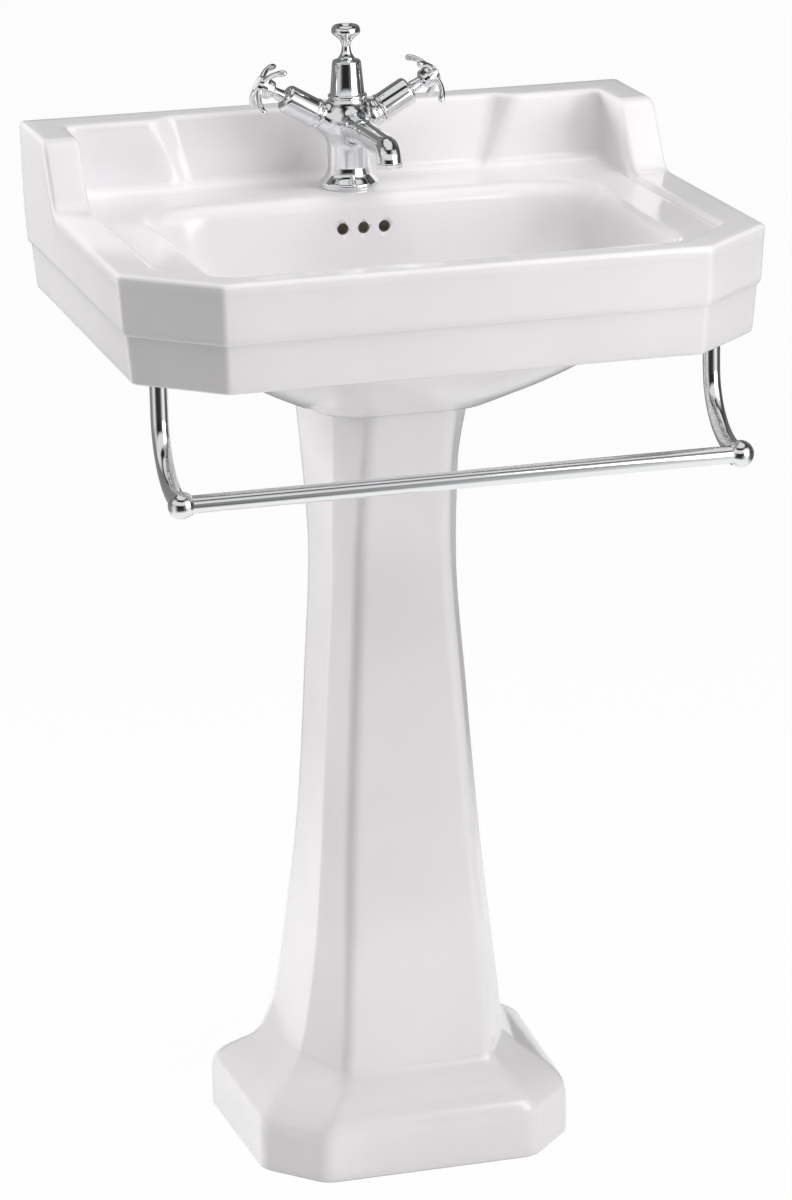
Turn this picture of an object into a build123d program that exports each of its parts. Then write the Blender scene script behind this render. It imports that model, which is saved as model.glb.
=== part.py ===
from build123d import *
from math import atan2, copysign, cos, radians, sin, sqrt, tan
import os

# A pedestal basin for a wall, with a one-hole mixer tap, a pop-up waste and a towel rail.
# Millimetres. The origin is on the floor under the middle of the basin's width and depth.
# +X is to the right, +Y towards the wall, +Z up.

# Basin, outside
basin_width = 560.0
basin_depth = 470.0
rim_height = 871.0
upstand_height = 930.0
step_height = 819.0
band_bottom = 777.0
corner_run_x = 72.0
corner_run_y = 70.0
corner_round = 9.0
upper_draft = 3.0
lower_band_inset = 6.0
lower_draft = 4.0
rim_round = 4.0

# Basin, deck and rim border
rim_border = 32.0
border_slope = 6.0
deck_drop = 5.0
deck_thickness = 13.0
skirt_thickness = 14.0
back_wall = 14.0

# Upstand with its two wings and the shallow panel in its middle
ledge_depth = 46.0
face_lean = 3.0
panel_ledge = 33.0
panel_lean = 4.0
panel_half_top = 152.0
panel_half_foot = 136.0
panel_facet_top = 13.0
panel_facet_foot = 6.0
wing_width = 33.0
wing_top_reach = 109.0
wing_foot_reach = 124.0
wing_top_round = 14.0
wing_foot_round = 22.0
wing_foot_run = 26.0

# Bowl
bowl_side_wall = 78.0
bowl_front_wall = 38.0
bowl_rear_reach = 131.0
bowl_depth = 144.0
bowl_floor_half_width = 62.0
bowl_floor_front = 58.0
bowl_floor_rear = 34.0
bowl_rear_corner = 58.0
bowl_front_corner = 42.0
china_wall = 11.0
hull_bottom = 700.0
lip_round = 5.0

# Overflow
overflow_pitch = 19.0
overflow_radius = 5.3
overflow_drop = 23.0
duct_half_width = 34.0
duct_depth = 9.0
duct_wall = 8.0
overflow_wall = 7.0
overflow_gap = 7.0
overflow_floor = 6.0
overflow_headroom = 2.0

# Holes in the basin
tap_reach = 88.0
taphole_radius = 17.5
waste_reach = 210.0
waste_bore = 22.5
flange_sink = 3.5
wall_bolt_spacing = 280.0
wall_bolt_height = 815.0
wall_bolt_radius = 7.0

# Pedestal
plinth_height = 42.0
plinth_front_half = 98.0
plinth_front_reach = 293.0
plinth_side_half = 145.0
plinth_side_reach = 243.0
plinth_rear_half = 152.0
plinth_rear_reach = 78.0
plinth_corner = 14.0
column_corner = 8.0
column_rear_reach = 118.0
pedestal_wall = 9.0
floor_lug_width = 54.0
floor_lug_length = 34.0
floor_lug_height = 14.0
floor_screw_radius = 4.0
floor_screw_spacing = 236.0
floor_screw_reach = 120.0

# Towel rail
rail_drop = 99.0
rail_set_back = 28.0
rail_radius = 6.35
rail_ball_inset = 37.7
ball_radius = 11.5
bracket_radius = 7.5
bracket_bore = 5.6
bracket_set_back = 101.0
bracket_bend = 58.0
rail_lug_rise = 6.0
rail_lug_height = 14.0
rail_lug_half = 24.0
bracket_stud_radius = 3.9
bracket_hole_radius = 5.0
pad_thickness = 2.0
socket_clearance = 0.05

# Tap body
base_radius = 27.0
base_seal_height = 1.5
column_radius = 20.0
bulb_radius = 24.0
bulb_height = 58.0
body_top = 80.0
valve_angle = 30.0
valve_height = 50.5
arm_radius = 12.2
arm_length = 34.0
spout_reach = 137.0
spout_height = 57.4
spout_radius = 10.6
spout_root_radius = 14.0
spout_bend = 12.0
spout_bore = 6.5
inlet_spacing = 22.0
inlet_radius = 4.6
inlet_depth = 24.0
stud_offset = 12.6
stud_radius = 3.9
stud_length = 62.0
aerator_radius = 11.2
aerator_height = 3.5

# Valves and handles, as stations along the valve axis from the tap's middle
valve_radius = 9.0
valve_start = 16.0
valve_end = 46.0
shroud_radius = 12.9
shroud_collar = 14.0
shroud_bore = 11.3
shroud_end = 67.0
shroud_round = 4.0
spindle_radius = 4.0
spindle_tip = 88.0
neck_start = 68.5
neck_radius = 5.2
hub_start = 80.0
hub_end = 95.0
hub_radius = 9.3
arm_reach = 26.5
arm_set_back = 12.0
arm_thickness = 2.7
arm_tip = 3.6
arm_clock = 45.0
cap_radius = 6.4
running_clearance = 0.05

# Rod tower, lift rod and knob, as heights over the deck
tower_collar = 17.5
tower_foot = 15.3
tower_shoulder = 12.9
tower_top = 114.0
knob_foot = 114.3
knob_waist = 125.0
knob_rim = 139.6
knob_top = 145.0
rod_radius = 2.4
rod_bottom = 700.0
lift_travel = 30.0

# Waste and pop-up linkage
flange_radius = 31.5
flange_thickness = 3.0
flange_seal_height = 1.0
barrel_radius = 20.5
barrel_bore = 17.6
barrel_bottom = 668.0
tail_radius = 20.95
tail_bottom = 600.0
tee_radius = 24.0
tee_top = 685.0
tee_bottom = 643.0
pivot_height = 655.0
pivot_reach = 26.5
ball_joint = 6.0
ball_rod_radius = 2.2
strap_offset = 3.9
strap_thickness = 2.0
strap_width = 10.0
strap_hole = 4.0
plug_radius = 24.0
stem_radius = 3.0
touch_gap = 0.3

# Places that follow from the sizes above
wall_y = basin_depth / 2
front_y = -basin_depth / 2
half_width = basin_width / 2
deck_z = rim_height - deck_drop
tap_y = wall_y - tap_reach
waste_y = wall_y - waste_reach
bowl_front = front_y + bowl_front_wall
bowl_rear = wall_y - bowl_rear_reach
bowl_floor = rim_height - bowl_depth - deck_drop
bowl_half_width = half_width - bowl_side_wall
rail_ball_x = half_width - rail_ball_inset
rail_y = front_y + rail_set_back
bracket_y = front_y + bracket_set_back
rail_lug_bottom = band_bottom + rail_lug_rise
rail_height = rail_lug_bottom - rail_drop


def outline(height, inset):
    """Plan of the basin at one height, set in by the same amount all round but flush at the wall."""
    with BuildSketch(Plane.XY.offset(height)) as plan:
        Polygon(
            (-half_width, wall_y + inset),
            (-half_width, front_y + corner_run_y),
            (-half_width + corner_run_x, front_y),
            (half_width - corner_run_x, front_y),
            (half_width, front_y + corner_run_y),
            (half_width, wall_y + inset),
            align=None,
        )
        if inset > 0:
            offset(amount=-inset, kind=Kind.INTERSECTION)
        fillet(plan.vertices().filter_by(lambda v: v.Y < 0), corner_round)
    return plan.sketch


def bowl_plan(height, half, front, rear, rear_round, front_round):
    """Plan of the bowl at one height, with wide corners at the back and tighter ones in front."""
    with BuildSketch(Plane.XY.offset(height)) as plan:
        Polygon((-half, front), (half, front), (half, rear), (-half, rear), align=None)
        middle = (front + rear) / 2
        fillet(plan.vertices().filter_by(lambda v: v.Y > middle), rear_round)
        front_corners = plan.vertices().filter_by(lambda v: v.Y < front + 0.01 and abs(v.X) > half - 0.01)
        fillet(front_corners, front_round)
    return plan.sketch


def bowl_sections(grow, drop):
    """Plans of the bowl from its lip down to its floor, grown and lowered for the outer skin."""
    fall = deck_z - bowl_floor
    shares = [(0.0, 1.0), (0.12, 0.965), (0.45, 0.86), (0.75, 0.66), (0.93, 0.36), (1.0, 0.0)]
    plans = []
    for depth_share, width_share in shares:
        half = bowl_floor_half_width + (bowl_half_width - bowl_floor_half_width) * width_share
        front = waste_y - bowl_floor_front + (bowl_front - waste_y + bowl_floor_front) * width_share
        rear = waste_y + bowl_floor_rear + (bowl_rear - waste_y - bowl_floor_rear) * width_share
        corner_share = 0.55 + 0.45 * width_share
        plans.append(
            bowl_plan(
                deck_z - fall * depth_share - drop * depth_share,
                half + grow,
                front - grow,
                rear + grow,
                bowl_rear_corner * corner_share,
                bowl_front_corner * corner_share,
            )
        )
    return plans


# Upstand: a back block with a wing at each end
wing_bottom = rim_height - 2 * rim_round
with BuildPart() as upstand:
    with BuildSketch(Plane.YZ.offset(-half_width)) as wing_profile:
        Polygon(
            (wall_y, wing_bottom),
            (wall_y - wing_foot_reach - wing_foot_run, wing_bottom),
            (wall_y - wing_foot_reach - wing_foot_run, rim_height),
            (wall_y - wing_foot_reach, rim_height),
            (wall_y - wing_top_reach, upstand_height),
            (wall_y, upstand_height),
            align=None,
        )
        top_corner = wing_profile.vertices().sort_by_distance((wall_y - wing_top_reach, upstand_height))[0]
        fillet(top_corner, wing_top_round)
        foot_corner = wing_profile.vertices().sort_by_distance((wall_y - wing_foot_reach, rim_height))[0]
        fillet(foot_corner, wing_foot_round)
    extrude(amount=wing_width)
    mirror(about=Plane.YZ)
    with BuildSketch(Plane.YZ.offset(-half_width)):
        Polygon(
            (wall_y, wing_bottom),
            (wall_y - ledge_depth + face_lean, wing_bottom),
            (wall_y - ledge_depth, upstand_height),
            (wall_y, upstand_height),
            align=None,
        )
    extrude(amount=basin_width)

# Shallow panel in the middle of the upstand's face
with BuildPart() as panel:
    with BuildSketch(Plane.XY.offset(upstand_height + 1)) as panel_top:
        Polygon(
            (-panel_half_top - panel_facet_top, wall_y - ledge_depth),
            (-panel_half_top, wall_y - panel_ledge),
            (panel_half_top, wall_y - panel_ledge),
            (panel_half_top + panel_facet_top, wall_y - ledge_depth),
            (panel_half_top + panel_facet_top, wall_y - ledge_depth - face_lean),
            (-panel_half_top - panel_facet_top, wall_y - ledge_depth - face_lean),
            align=None,
        )
    with BuildSketch(Plane.XY.offset(deck_z)) as panel_foot:
        foot_y = wall_y - ledge_depth + face_lean
        Polygon(
            (-panel_half_foot - panel_facet_foot, foot_y),
            (-panel_half_foot, wall_y - panel_ledge - panel_lean),
            (panel_half_foot, wall_y - panel_ledge - panel_lean),
            (panel_half_foot + panel_facet_foot, foot_y),
            (panel_half_foot + panel_facet_foot, foot_y - 2 * face_lean),
            (-panel_half_foot - panel_facet_foot, foot_y - 2 * face_lean),
            align=None,
        )
    loft(ruled=True)

# Outer skin of the bowl, which hangs below the bands
with BuildPart() as hull:
    loft(bowl_sections(china_wall, bowl_floor - hull_bottom))

# Overflow duct on the back of the bowl, from behind the three holes to the waste
hole_height = deck_z - overflow_drop
duct_top = hole_height + overflow_radius + overflow_headroom
with BuildPart() as duct:
    loft(bowl_sections(china_wall + duct_depth, bowl_floor - hull_bottom))
    with Locations((0, waste_y, duct_top + duct_wall)):
        Box(
            2 * duct_half_width,
            basin_depth,
            basin_depth,
            align=(Align.CENTER, Align.MIN, Align.MAX),
            mode=Mode.INTERSECT,
        )
with BuildPart() as waterway:
    loft(bowl_sections(overflow_wall + overflow_gap, bowl_floor - hull_bottom - overflow_floor))
    loft(bowl_sections(overflow_wall, overflow_wall), mode=Mode.SUBTRACT)
    with Locations((0, waste_y, duct_top)):
        Box(
            2 * (duct_half_width - duct_wall),
            basin_depth,
            basin_depth,
            align=(Align.CENTER, Align.MIN, Align.MAX),
            mode=Mode.INTERSECT,
        )

# Hollow under the deck, between the skirt, the back wall and the hull
with BuildPart() as hollow:
    loft(
        [
            outline(band_bottom - 1, lower_band_inset + lower_draft + skirt_thickness),
            outline(deck_z - deck_thickness, lower_band_inset + skirt_thickness),
        ],
        ruled=True,
    )
    with Locations((0, wall_y, (band_bottom + deck_z) / 2)):
        Box(basin_width, 2 * back_wall, basin_depth, mode=Mode.SUBTRACT)
    add(hull.part, mode=Mode.SUBTRACT)
    for side in (-1, 1):
        with Locations((side * rail_ball_x, bracket_y, rail_lug_bottom)):
            Box(
                4 * rail_lug_half,
                2 * rail_lug_half,
                rail_lug_height,
                align=(Align.CENTER, Align.CENTER, Align.MIN),
                mode=Mode.SUBTRACT,
            )

# Floor of the shallow tray between the rim border and the upstand
with BuildPart() as tray:
    loft([outline(deck_z, rim_border + border_slope), outline(rim_height + 1, rim_border - 1)], ruled=True)
    with Locations((0, wall_y - ledge_depth + face_lean, deck_z)):
        Box(
            basin_width,
            basin_depth,
            4 * deck_drop,
            align=(Align.CENTER, Align.MIN, Align.CENTER),
            mode=Mode.SUBTRACT,
        )
    add(panel.part)

with BuildPart() as basin:
    loft([outline(step_height, upper_draft), outline(rim_height, 0)], ruled=True)
    rim_edges = basin.edges().group_by(Axis.Z)[-1].filter_by(lambda e: e.center().Y < wall_y - 1)
    fillet(rim_edges, rim_round)
    loft(
        [outline(band_bottom, lower_band_inset + lower_draft), outline(step_height, lower_band_inset)],
        ruled=True,
    )
    add(upstand.part)
    add(hollow.part, mode=Mode.SUBTRACT)
    add(hull.part)
    add(duct.part)
    add(tray.part, mode=Mode.SUBTRACT)
    loft(bowl_sections(0, 0), mode=Mode.SUBTRACT)
    lip = basin.edges().filter_by(lambda e: abs(e.center().Z - deck_z) < 0.01)
    lip = lip.filter_by(lambda e: abs(e.center().X) < bowl_half_width + 1)
    lip = lip.filter_by(lambda e: e.center().Y < bowl_rear + 1)
    fillet(lip.filter_by(lambda e: e.center().Y > bowl_front - 1), lip_round)

    # Water way inside the duct, and the three holes into it
    add(waterway.part, mode=Mode.SUBTRACT)
    with BuildSketch(Plane.XZ.offset(-bowl_rear - overflow_wall)):
        with Locations((0, hole_height)):
            with GridLocations(overflow_pitch, 0, 3, 1):
                Circle(overflow_radius)
    extrude(amount=2 * china_wall, mode=Mode.SUBTRACT)

    # Holes for the tap, the waste, the wall bolts and the rail brackets
    with Locations((0, tap_y, deck_z)):
        Hole(taphole_radius, depth=2 * deck_thickness)
    with Locations((0, waste_y, bowl_floor)):
        CounterBoreHole(waste_bore, flange_radius + 1, flange_sink, depth=2 * bowl_depth)
    with BuildSketch(Plane.XZ.offset(-wall_y)):
        with Locations((0, wall_bolt_height)):
            with GridLocations(wall_bolt_spacing, 0, 2, 1):
                Circle(wall_bolt_radius)
    extrude(amount=2 * back_wall, mode=Mode.SUBTRACT)
    with Locations((-rail_ball_x, bracket_y, rail_lug_bottom), (rail_ball_x, bracket_y, rail_lug_bottom)):
        Cylinder(
            bracket_hole_radius,
            rail_lug_height,
            align=(Align.CENTER, Align.CENTER, Align.MIN),
            mode=Mode.SUBTRACT,
        )


def ring_plan(height, half_front, front, half_side, side, half_rear, rear, corner, wall):
    """Plan of the pedestal at one height; with a wall it is the hollow inside, open at the back."""
    with BuildSketch(Plane.XY.offset(height)) as plan:
        back = rear + 2 * wall
        Polygon(
            (-half_front, front),
            (half_front, front),
            (half_side, side),
            (half_rear, back),
            (-half_rear, back),
            (-half_side, side),
            align=None,
        )
        if wall > 0:
            offset(amount=-wall, kind=Kind.INTERSECTION)
        fillet(plan.vertices().filter_by(lambda v: v.Y < rear - 1), corner)
    return plan.sketch


# Half width and reach from the wall of the front edge, then of the side edge, then the rear half width
plinth = (plinth_front_half, plinth_front_reach, plinth_side_half, plinth_side_reach, plinth_rear_half)
column_foot = (68.4, 257.0, 96.7, 200.0, 112.0)
# The same, after the height, from the foot of the column to the underside of the basin
column_stations = [
    (120.0, 66.0, 260.0, 92.5, 207.0, 100.0),
    (200.0, 62.8, 258.5, 82.5, 214.0, 86.0),
    (300.0, 57.4, 251.0, 73.6, 211.5, 72.0),
    (430.0, 49.5, 247.0, 65.0, 208.5, 62.0),
    (550.0, 42.0, 244.0, 57.7, 210.0, 55.0),
    (640.0, 38.5, 260.0, 57.5, 222.0, 60.0),
    (700.0, 37.8, 282.0, 61.7, 241.0, 65.0),
]
shoulder_shares = [(42.0, 0.0), (50.0, 0.06), (60.0, 0.24), (70.0, 0.52), (80.0, 0.82), (92.0, 1.0)]


def pedestal_plans(wall):
    """Plans of the pedestal from the top of its plinth to the underside of the basin."""
    plans = []
    for height, share in shoulder_shares:
        size = [a + (b - a) * share for a, b in zip(plinth, column_foot)]
        rear_reach = plinth_rear_reach + (column_rear_reach - plinth_rear_reach) * share
        corner = plinth_corner + (column_corner - plinth_corner) * share
        plans.append((height - 0.6 * wall, *size, rear_reach, corner))
    for height, *size in column_stations:
        plans.append((height, *size, column_rear_reach, column_corner))
    return [
        ring_plan(
            height,
            half_front,
            wall_y - front_reach,
            half_side,
            wall_y - side_reach,
            half_rear,
            wall_y - rear_reach,
            max(corner - 0.7 * wall, 1.5),
            wall,
        )
        for height, half_front, front_reach, half_side, side_reach, half_rear, rear_reach, corner in plans
    ]


with BuildPart() as pedestal:
    outside = pedestal_plans(0)
    plinth_foot = outside[0].moved(Location((0, 0, -plinth_height)))
    loft([plinth_foot, outside[0]], ruled=True)
    loft(outside)
    inside = pedestal_plans(pedestal_wall)
    inside_foot = inside[0].moved(Location((0, 0, -plinth_height)))
    loft([inside_foot, inside[0]], ruled=True, mode=Mode.SUBTRACT)
    loft(inside, mode=Mode.SUBTRACT)

    # Lugs inside the plinth, each with a hole for a floor screw
    with BuildSketch():
        with Locations((0, wall_y - floor_screw_reach)):
            with GridLocations(floor_screw_spacing, 0, 2, 1):
                Rectangle(floor_lug_width, floor_lug_length)
    extrude(amount=floor_lug_height)
    with BuildSketch():
        with Locations((0, wall_y - floor_screw_reach)):
            with GridLocations(floor_screw_spacing, 0, 2, 1):
                Circle(floor_screw_radius)
    extrude(amount=floor_lug_height, mode=Mode.SUBTRACT)


def side_plane(frame):
    """Plane through a frame's axis, to draw a half profile as (radius, station)."""
    return Plane(origin=frame.origin, x_dir=frame.x_dir, z_dir=-frame.y_dir)


def turned(frame, turn):
    """The frame turned about its own axis."""
    x_dir = frame.x_dir * cos(radians(turn)) + frame.y_dir * sin(radians(turn))
    return Plane(origin=frame.origin, x_dir=x_dir, z_dir=frame.z_dir)


def spin(frame, *corners, rounds=(), mode=Mode.ADD):
    """Revolve a half profile of (radius, station) corners about the frame's axis, some of them rounded."""
    with BuildSketch(side_plane(frame)) as profile:
        Polygon(*corners, align=None)
        for corner, radius in rounds:
            fillet(profile.vertices().sort_by_distance(corner)[0], radius)
    revolve(profile.sketch, axis=Axis(frame.origin, frame.z_dir), mode=mode)


def tube(frame, inner, outer, start, end, mode=Mode.ADD):
    """Plain ring or, with no inner radius, a plain rod between two stations on the frame's axis."""
    spin(frame, (inner, start), (outer, start), (outer, end), (inner, end), mode=mode)


def dome_middle(radius, station, rise):
    """Middle of an arc from (radius, station) to the axis, which it meets squarely, rising or sinking."""
    ball = (radius**2 + rise**2) / (2 * rise)
    return (radius / 2, station + rise - ball + copysign(sqrt(ball**2 - radius**2 / 4), ball))


tap_frame = Plane(origin=(0, tap_y, deck_z))
waste_frame = Plane(origin=(0, waste_y, 0))
angle = radians(valve_angle)
valve_frames = {
    side: Plane(
        origin=(0, tap_y, deck_z + valve_height),
        x_dir=(0, -1, 0),
        z_dir=(sign * cos(angle), 0, sin(angle)),
    )
    for side, sign in (("hot", -1), ("cold", 1))
}
pieces = {"basin": basin, "pedestal": pedestal}

# Tap body: flanged column, rounded middle, an arm to each valve and the spout, cast in one
spout_z = deck_z + spout_height
spout_end_y = tap_y - spout_reach
spout_end_z = spout_z - spout_bend
with BuildPart() as tap_body:
    with BuildSketch(side_plane(tap_frame)):
        with BuildLine():
            neck = (tower_collar - 1.5, body_top - 2)
            waist = (column_radius - 0.5, 39)
            Line((0, base_seal_height), (base_radius, base_seal_height))
            Line((base_radius, base_seal_height), (base_radius, 4.5))
            ThreePointArc((base_radius, 4.5), (24.0, 8.0), (column_radius, 12.5))
            ThreePointArc((column_radius, 12.5), (column_radius + 0.9, 26), waist)
            ThreePointArc(waist, (bulb_radius, bulb_height), neck)
            Line(neck, (neck[0], body_top))
            Line((neck[0], body_top), (0, body_top))
            Line((0, body_top), (0, base_seal_height))
        make_face()
    revolve(axis=Axis(tap_frame.origin, tap_frame.z_dir))
    for frame in valve_frames.values():
        tube(frame, 0, arm_radius, 0, arm_length)

    # Spout: a tapered root, a level run and a bend down to the outlet
    root_y = tap_y - column_radius / 2
    waist_y = tap_y - spout_reach * 0.38
    with BuildSketch(Plane.XZ.offset(-root_y)):
        with Locations((0, spout_z - spout_root_radius + spout_radius)):
            Circle(spout_root_radius)
    with BuildSketch(Plane.XZ.offset(-waist_y)):
        with Locations((0, spout_z)):
            Circle(spout_radius)
    loft()
    with BuildLine() as spout_path:
        level_end = (0, spout_end_y + spout_bend, spout_z)
        Line((0, waist_y, spout_z), level_end)
        bend_share = spout_bend * sin(radians(45))
        bend_middle = (0, level_end[1] - bend_share, spout_end_z + bend_share)
        ThreePointArc(level_end, bend_middle, (0, spout_end_y, spout_end_z))
    with BuildSketch(Plane.XZ.offset(-waist_y)):
        with Locations((0, spout_z)):
            Circle(spout_radius)
    sweep(path=spout_path.wire())

    # Water ways, valve seats, the lift rod's way and the tapped holes underneath
    with BuildSketch(Plane.XZ.offset(-spout_end_y)):
        with Locations((0, spout_z)):
            Circle(spout_bore - 1)
    extrude(amount=-(spout_reach - 2 * rod_radius), mode=Mode.SUBTRACT)
    with BuildSketch(Plane.XY.offset(spout_end_z - 1)):
        with Locations((0, spout_end_y)):
            Circle(spout_bore)
    extrude(amount=spout_bend + 1, mode=Mode.SUBTRACT)
    for frame in valve_frames.values():
        tube(frame, 0, valve_radius + socket_clearance, valve_start, arm_length + 1, mode=Mode.SUBTRACT)
    tube(tap_frame, 0, rod_radius + touch_gap, 0, body_top + 1, mode=Mode.SUBTRACT)
    with BuildSketch(Plane.XY.offset(deck_z)):
        with Locations((0, tap_y)):
            with GridLocations(inlet_spacing, 0, 2, 1):
                Circle(inlet_radius)
    extrude(amount=inlet_depth + base_seal_height, mode=Mode.SUBTRACT)
    with BuildSketch(Plane.XY.offset(deck_z)):
        with Locations((0, tap_y - stud_offset)):
            Circle(stud_radius + socket_clearance)
    extrude(amount=inlet_depth, mode=Mode.SUBTRACT)
pieces["tap_body"] = tap_body

with BuildPart() as tap_base_seal:
    tube(tap_frame, taphole_radius, base_radius - 2, 0, base_seal_height)
pieces["tap_base_seal"] = tap_base_seal

# Fixing under the deck: stud, split rubber and steel washers, nut
clamp_radius = 22.4
rubber_thickness = 3.0
plate_thickness = 2.5
deck_under = deck_z - deck_thickness
with BuildPart() as tap_fixing_stud:
    with Locations((0, tap_y - stud_offset, deck_z + inlet_depth - touch_gap)):
        Cylinder(stud_radius, stud_length, align=(Align.CENTER, Align.CENTER, Align.MAX))
    chamfer(tap_fixing_stud.edges(), 0.8)
pieces["tap_fixing_stud"] = tap_fixing_stud


def split_washer(top, thickness):
    """Washer under the deck, open towards the wall for the two supplies and the lift rod."""
    with BuildSketch(Plane.XY.offset(top)) as plan:
        with Locations((0, tap_y)):
            Circle(clamp_radius)
            with Locations((0, -inlet_radius - 1)):
                Rectangle(
                    inlet_spacing + 4 * inlet_radius,
                    2 * clamp_radius,
                    align=(Align.CENTER, Align.MIN),
                    mode=Mode.SUBTRACT,
                )
            with Locations((0, -stud_offset)):
                Circle(stud_radius + 2 * touch_gap, mode=Mode.SUBTRACT)
    extrude(plan.sketch, amount=-thickness)


def hex_nut(frame, bore, across, start, height):
    """Plain six-sided nut with its lower and upper corners turned back."""
    with BuildSketch(frame.offset(start)) as plan:
        RegularPolygon(across / 2, 6, major_radius=False)
        Circle(bore, mode=Mode.SUBTRACT)
    extrude(plan.sketch, amount=height)
    cone = across / 2 / cos(radians(30))
    turn_back = min(0.18 * across / 2, height / 5)
    spin(
        frame,
        (bore, start),
        (across / 2 - 0.4, start),
        (cone, start + turn_back),
        (cone, start + height - turn_back),
        (across / 2 - 0.4, start + height),
        (bore, start + height),
        mode=Mode.INTERSECT,
    )


with BuildPart() as tap_rubber_washer:
    split_washer(deck_under, rubber_thickness)
pieces["tap_rubber_washer"] = tap_rubber_washer
with BuildPart() as tap_clamp_plate:
    split_washer(deck_under - rubber_thickness, plate_thickness)
pieces["tap_clamp_plate"] = tap_clamp_plate
clamp_under = deck_under - rubber_thickness - plate_thickness
stud_frame = Plane(origin=(0, tap_y - stud_offset, 0))
with BuildPart() as tap_fixing_nut:
    hex_nut(stud_frame, stud_radius + socket_clearance, 13, clamp_under - 8, 8)
pieces["tap_fixing_nut"] = tap_fixing_nut

# Flow straightener in the spout's outlet
outlet_frame = Plane(origin=(0, spout_end_y, spout_end_z))
with BuildPart() as aerator_sleeve:
    tube(outlet_frame, spout_bore + 1.5, aerator_radius, -aerator_height, 0)
    chamfer(aerator_sleeve.edges().group_by(Axis.Z)[0], 0.5)
pieces["aerator_sleeve"] = aerator_sleeve
with BuildPart() as aerator_insert:
    tube(outlet_frame, 0, spout_bore + 1.5 - socket_clearance, -aerator_height + 1, 0)
    with Locations(outlet_frame.offset(-aerator_height + 1)):
        with PolarLocations(spout_bore * 0.62, 6):
            Cylinder(1.1, 3 * aerator_height, mode=Mode.SUBTRACT)
        Cylinder(1.1, 3 * aerator_height, mode=Mode.SUBTRACT)
pieces["aerator_insert"] = aerator_insert

# Valves: a brass headwork under a chromed shroud, with the turning spindle through both
valve_flange = 10.6
handle_spline = 3.4
screw_head = 3.6
cap_seat = 92.4
cap_rise = 1.9
frame = valve_frames["hot"]
with BuildPart() as valve:
    tube(frame, 0, valve_radius, valve_start, valve_end)
    tube(frame, 0, valve_flange, arm_length, arm_length + 4)
    tube(frame, 0, spindle_radius + running_clearance, valve_start + 8, valve_end + 1, mode=Mode.SUBTRACT)
pieces["hot_valve"] = valve

with BuildPart() as packing:
    tube(frame, spindle_radius + running_clearance, valve_radius - 1, valve_end, valve_end + 2.5)
pieces["hot_packing"] = packing

with BuildPart() as shroud:
    spin(
        frame,
        (shroud_bore, arm_length),
        (shroud_collar, arm_length),
        (shroud_collar, arm_length + 3.2),
        (shroud_radius, arm_length + 4),
        (shroud_radius, shroud_end),
        (spindle_radius + 2 * touch_gap, shroud_end),
        (spindle_radius + 2 * touch_gap, shroud_end - 4),
        (shroud_bore, shroud_end - 6),
        rounds=[
            ((shroud_radius, shroud_end), shroud_round),
            ((shroud_collar, arm_length), 1.2),
            ((shroud_collar, arm_length + 3.2), 1.0),
        ],
    )
pieces["hot_shroud"] = shroud

with BuildPart() as spindle:
    spin(
        frame,
        (0, valve_start + 9),
        (spindle_radius, valve_start + 9),
        (spindle_radius, neck_start + 3),
        (handle_spline, neck_start + 3),
        (handle_spline, spindle_tip),
        (0, spindle_tip),
    )
    tube(frame, 0, screw_head / 2 + socket_clearance, spindle_tip - 9, spindle_tip + 1, mode=Mode.SUBTRACT)
pieces["hot_spindle"] = spindle

# Cross handle: a hub with four arms that curve back to rounded tips
with BuildPart() as handle:
    spin(
        frame,
        (0, neck_start),
        (neck_radius + 0.6, neck_start),
        (neck_radius, neck_start + 5),
        (neck_radius, hub_start - 2),
        (hub_radius, hub_start),
        (hub_radius, hub_end - 4),
        (cap_radius + 1.2, hub_end),
        (0, hub_end),
        rounds=[
            ((hub_radius, hub_start), 2.0),
            ((hub_radius, hub_end - 4), 2.5),
            ((neck_radius, hub_start - 2), 1.5),
        ],
    )
    for quarter in range(4):
        arm_plane = side_plane(turned(frame, arm_clock + 90 * quarter))
        arm_end = (arm_reach, hub_end - arm_set_back)
        with BuildLine(arm_plane) as arm_path:
            ThreePointArc((4.0, hub_end - 4.2), (arm_reach * 0.62, hub_end - 5.2), arm_end)
        with BuildSketch(Plane(origin=arm_path.line @ 0, z_dir=arm_path.line % 0)):
            Circle(arm_thickness)
        sweep(path=arm_path.wire())
        with Locations(arm_path.line @ 1):
            Sphere(arm_tip)
    tube(frame, 0, handle_spline + socket_clearance, neck_start + 3, spindle_tip, mode=Mode.SUBTRACT)
    tube(frame, 0, spindle_radius + socket_clearance, neck_start - 1, neck_start + 3, mode=Mode.SUBTRACT)
    tube(frame, 0, screw_head / 2 + touch_gap, spindle_tip - 1, hub_end, mode=Mode.SUBTRACT)
    tube(frame, 0, screw_head + touch_gap, spindle_tip + 1.6, hub_end, mode=Mode.SUBTRACT)
    tube(frame, 0, cap_radius + socket_clearance, cap_seat, hub_end + 1, mode=Mode.SUBTRACT)
pieces["hot_handle"] = handle

with BuildPart() as screw:
    tube(frame, 0, screw_head / 2, spindle_tip - 8, spindle_tip + 1.6)
    tube(frame, 0, screw_head, spindle_tip + 1.6, spindle_tip + 3.8)
    with BuildSketch(frame.offset(spindle_tip + 3.8)):
        Rectangle(4 * screw_head, 1.0)
    extrude(amount=-1.0, mode=Mode.SUBTRACT)
pieces["hot_handle_screw"] = screw

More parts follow.
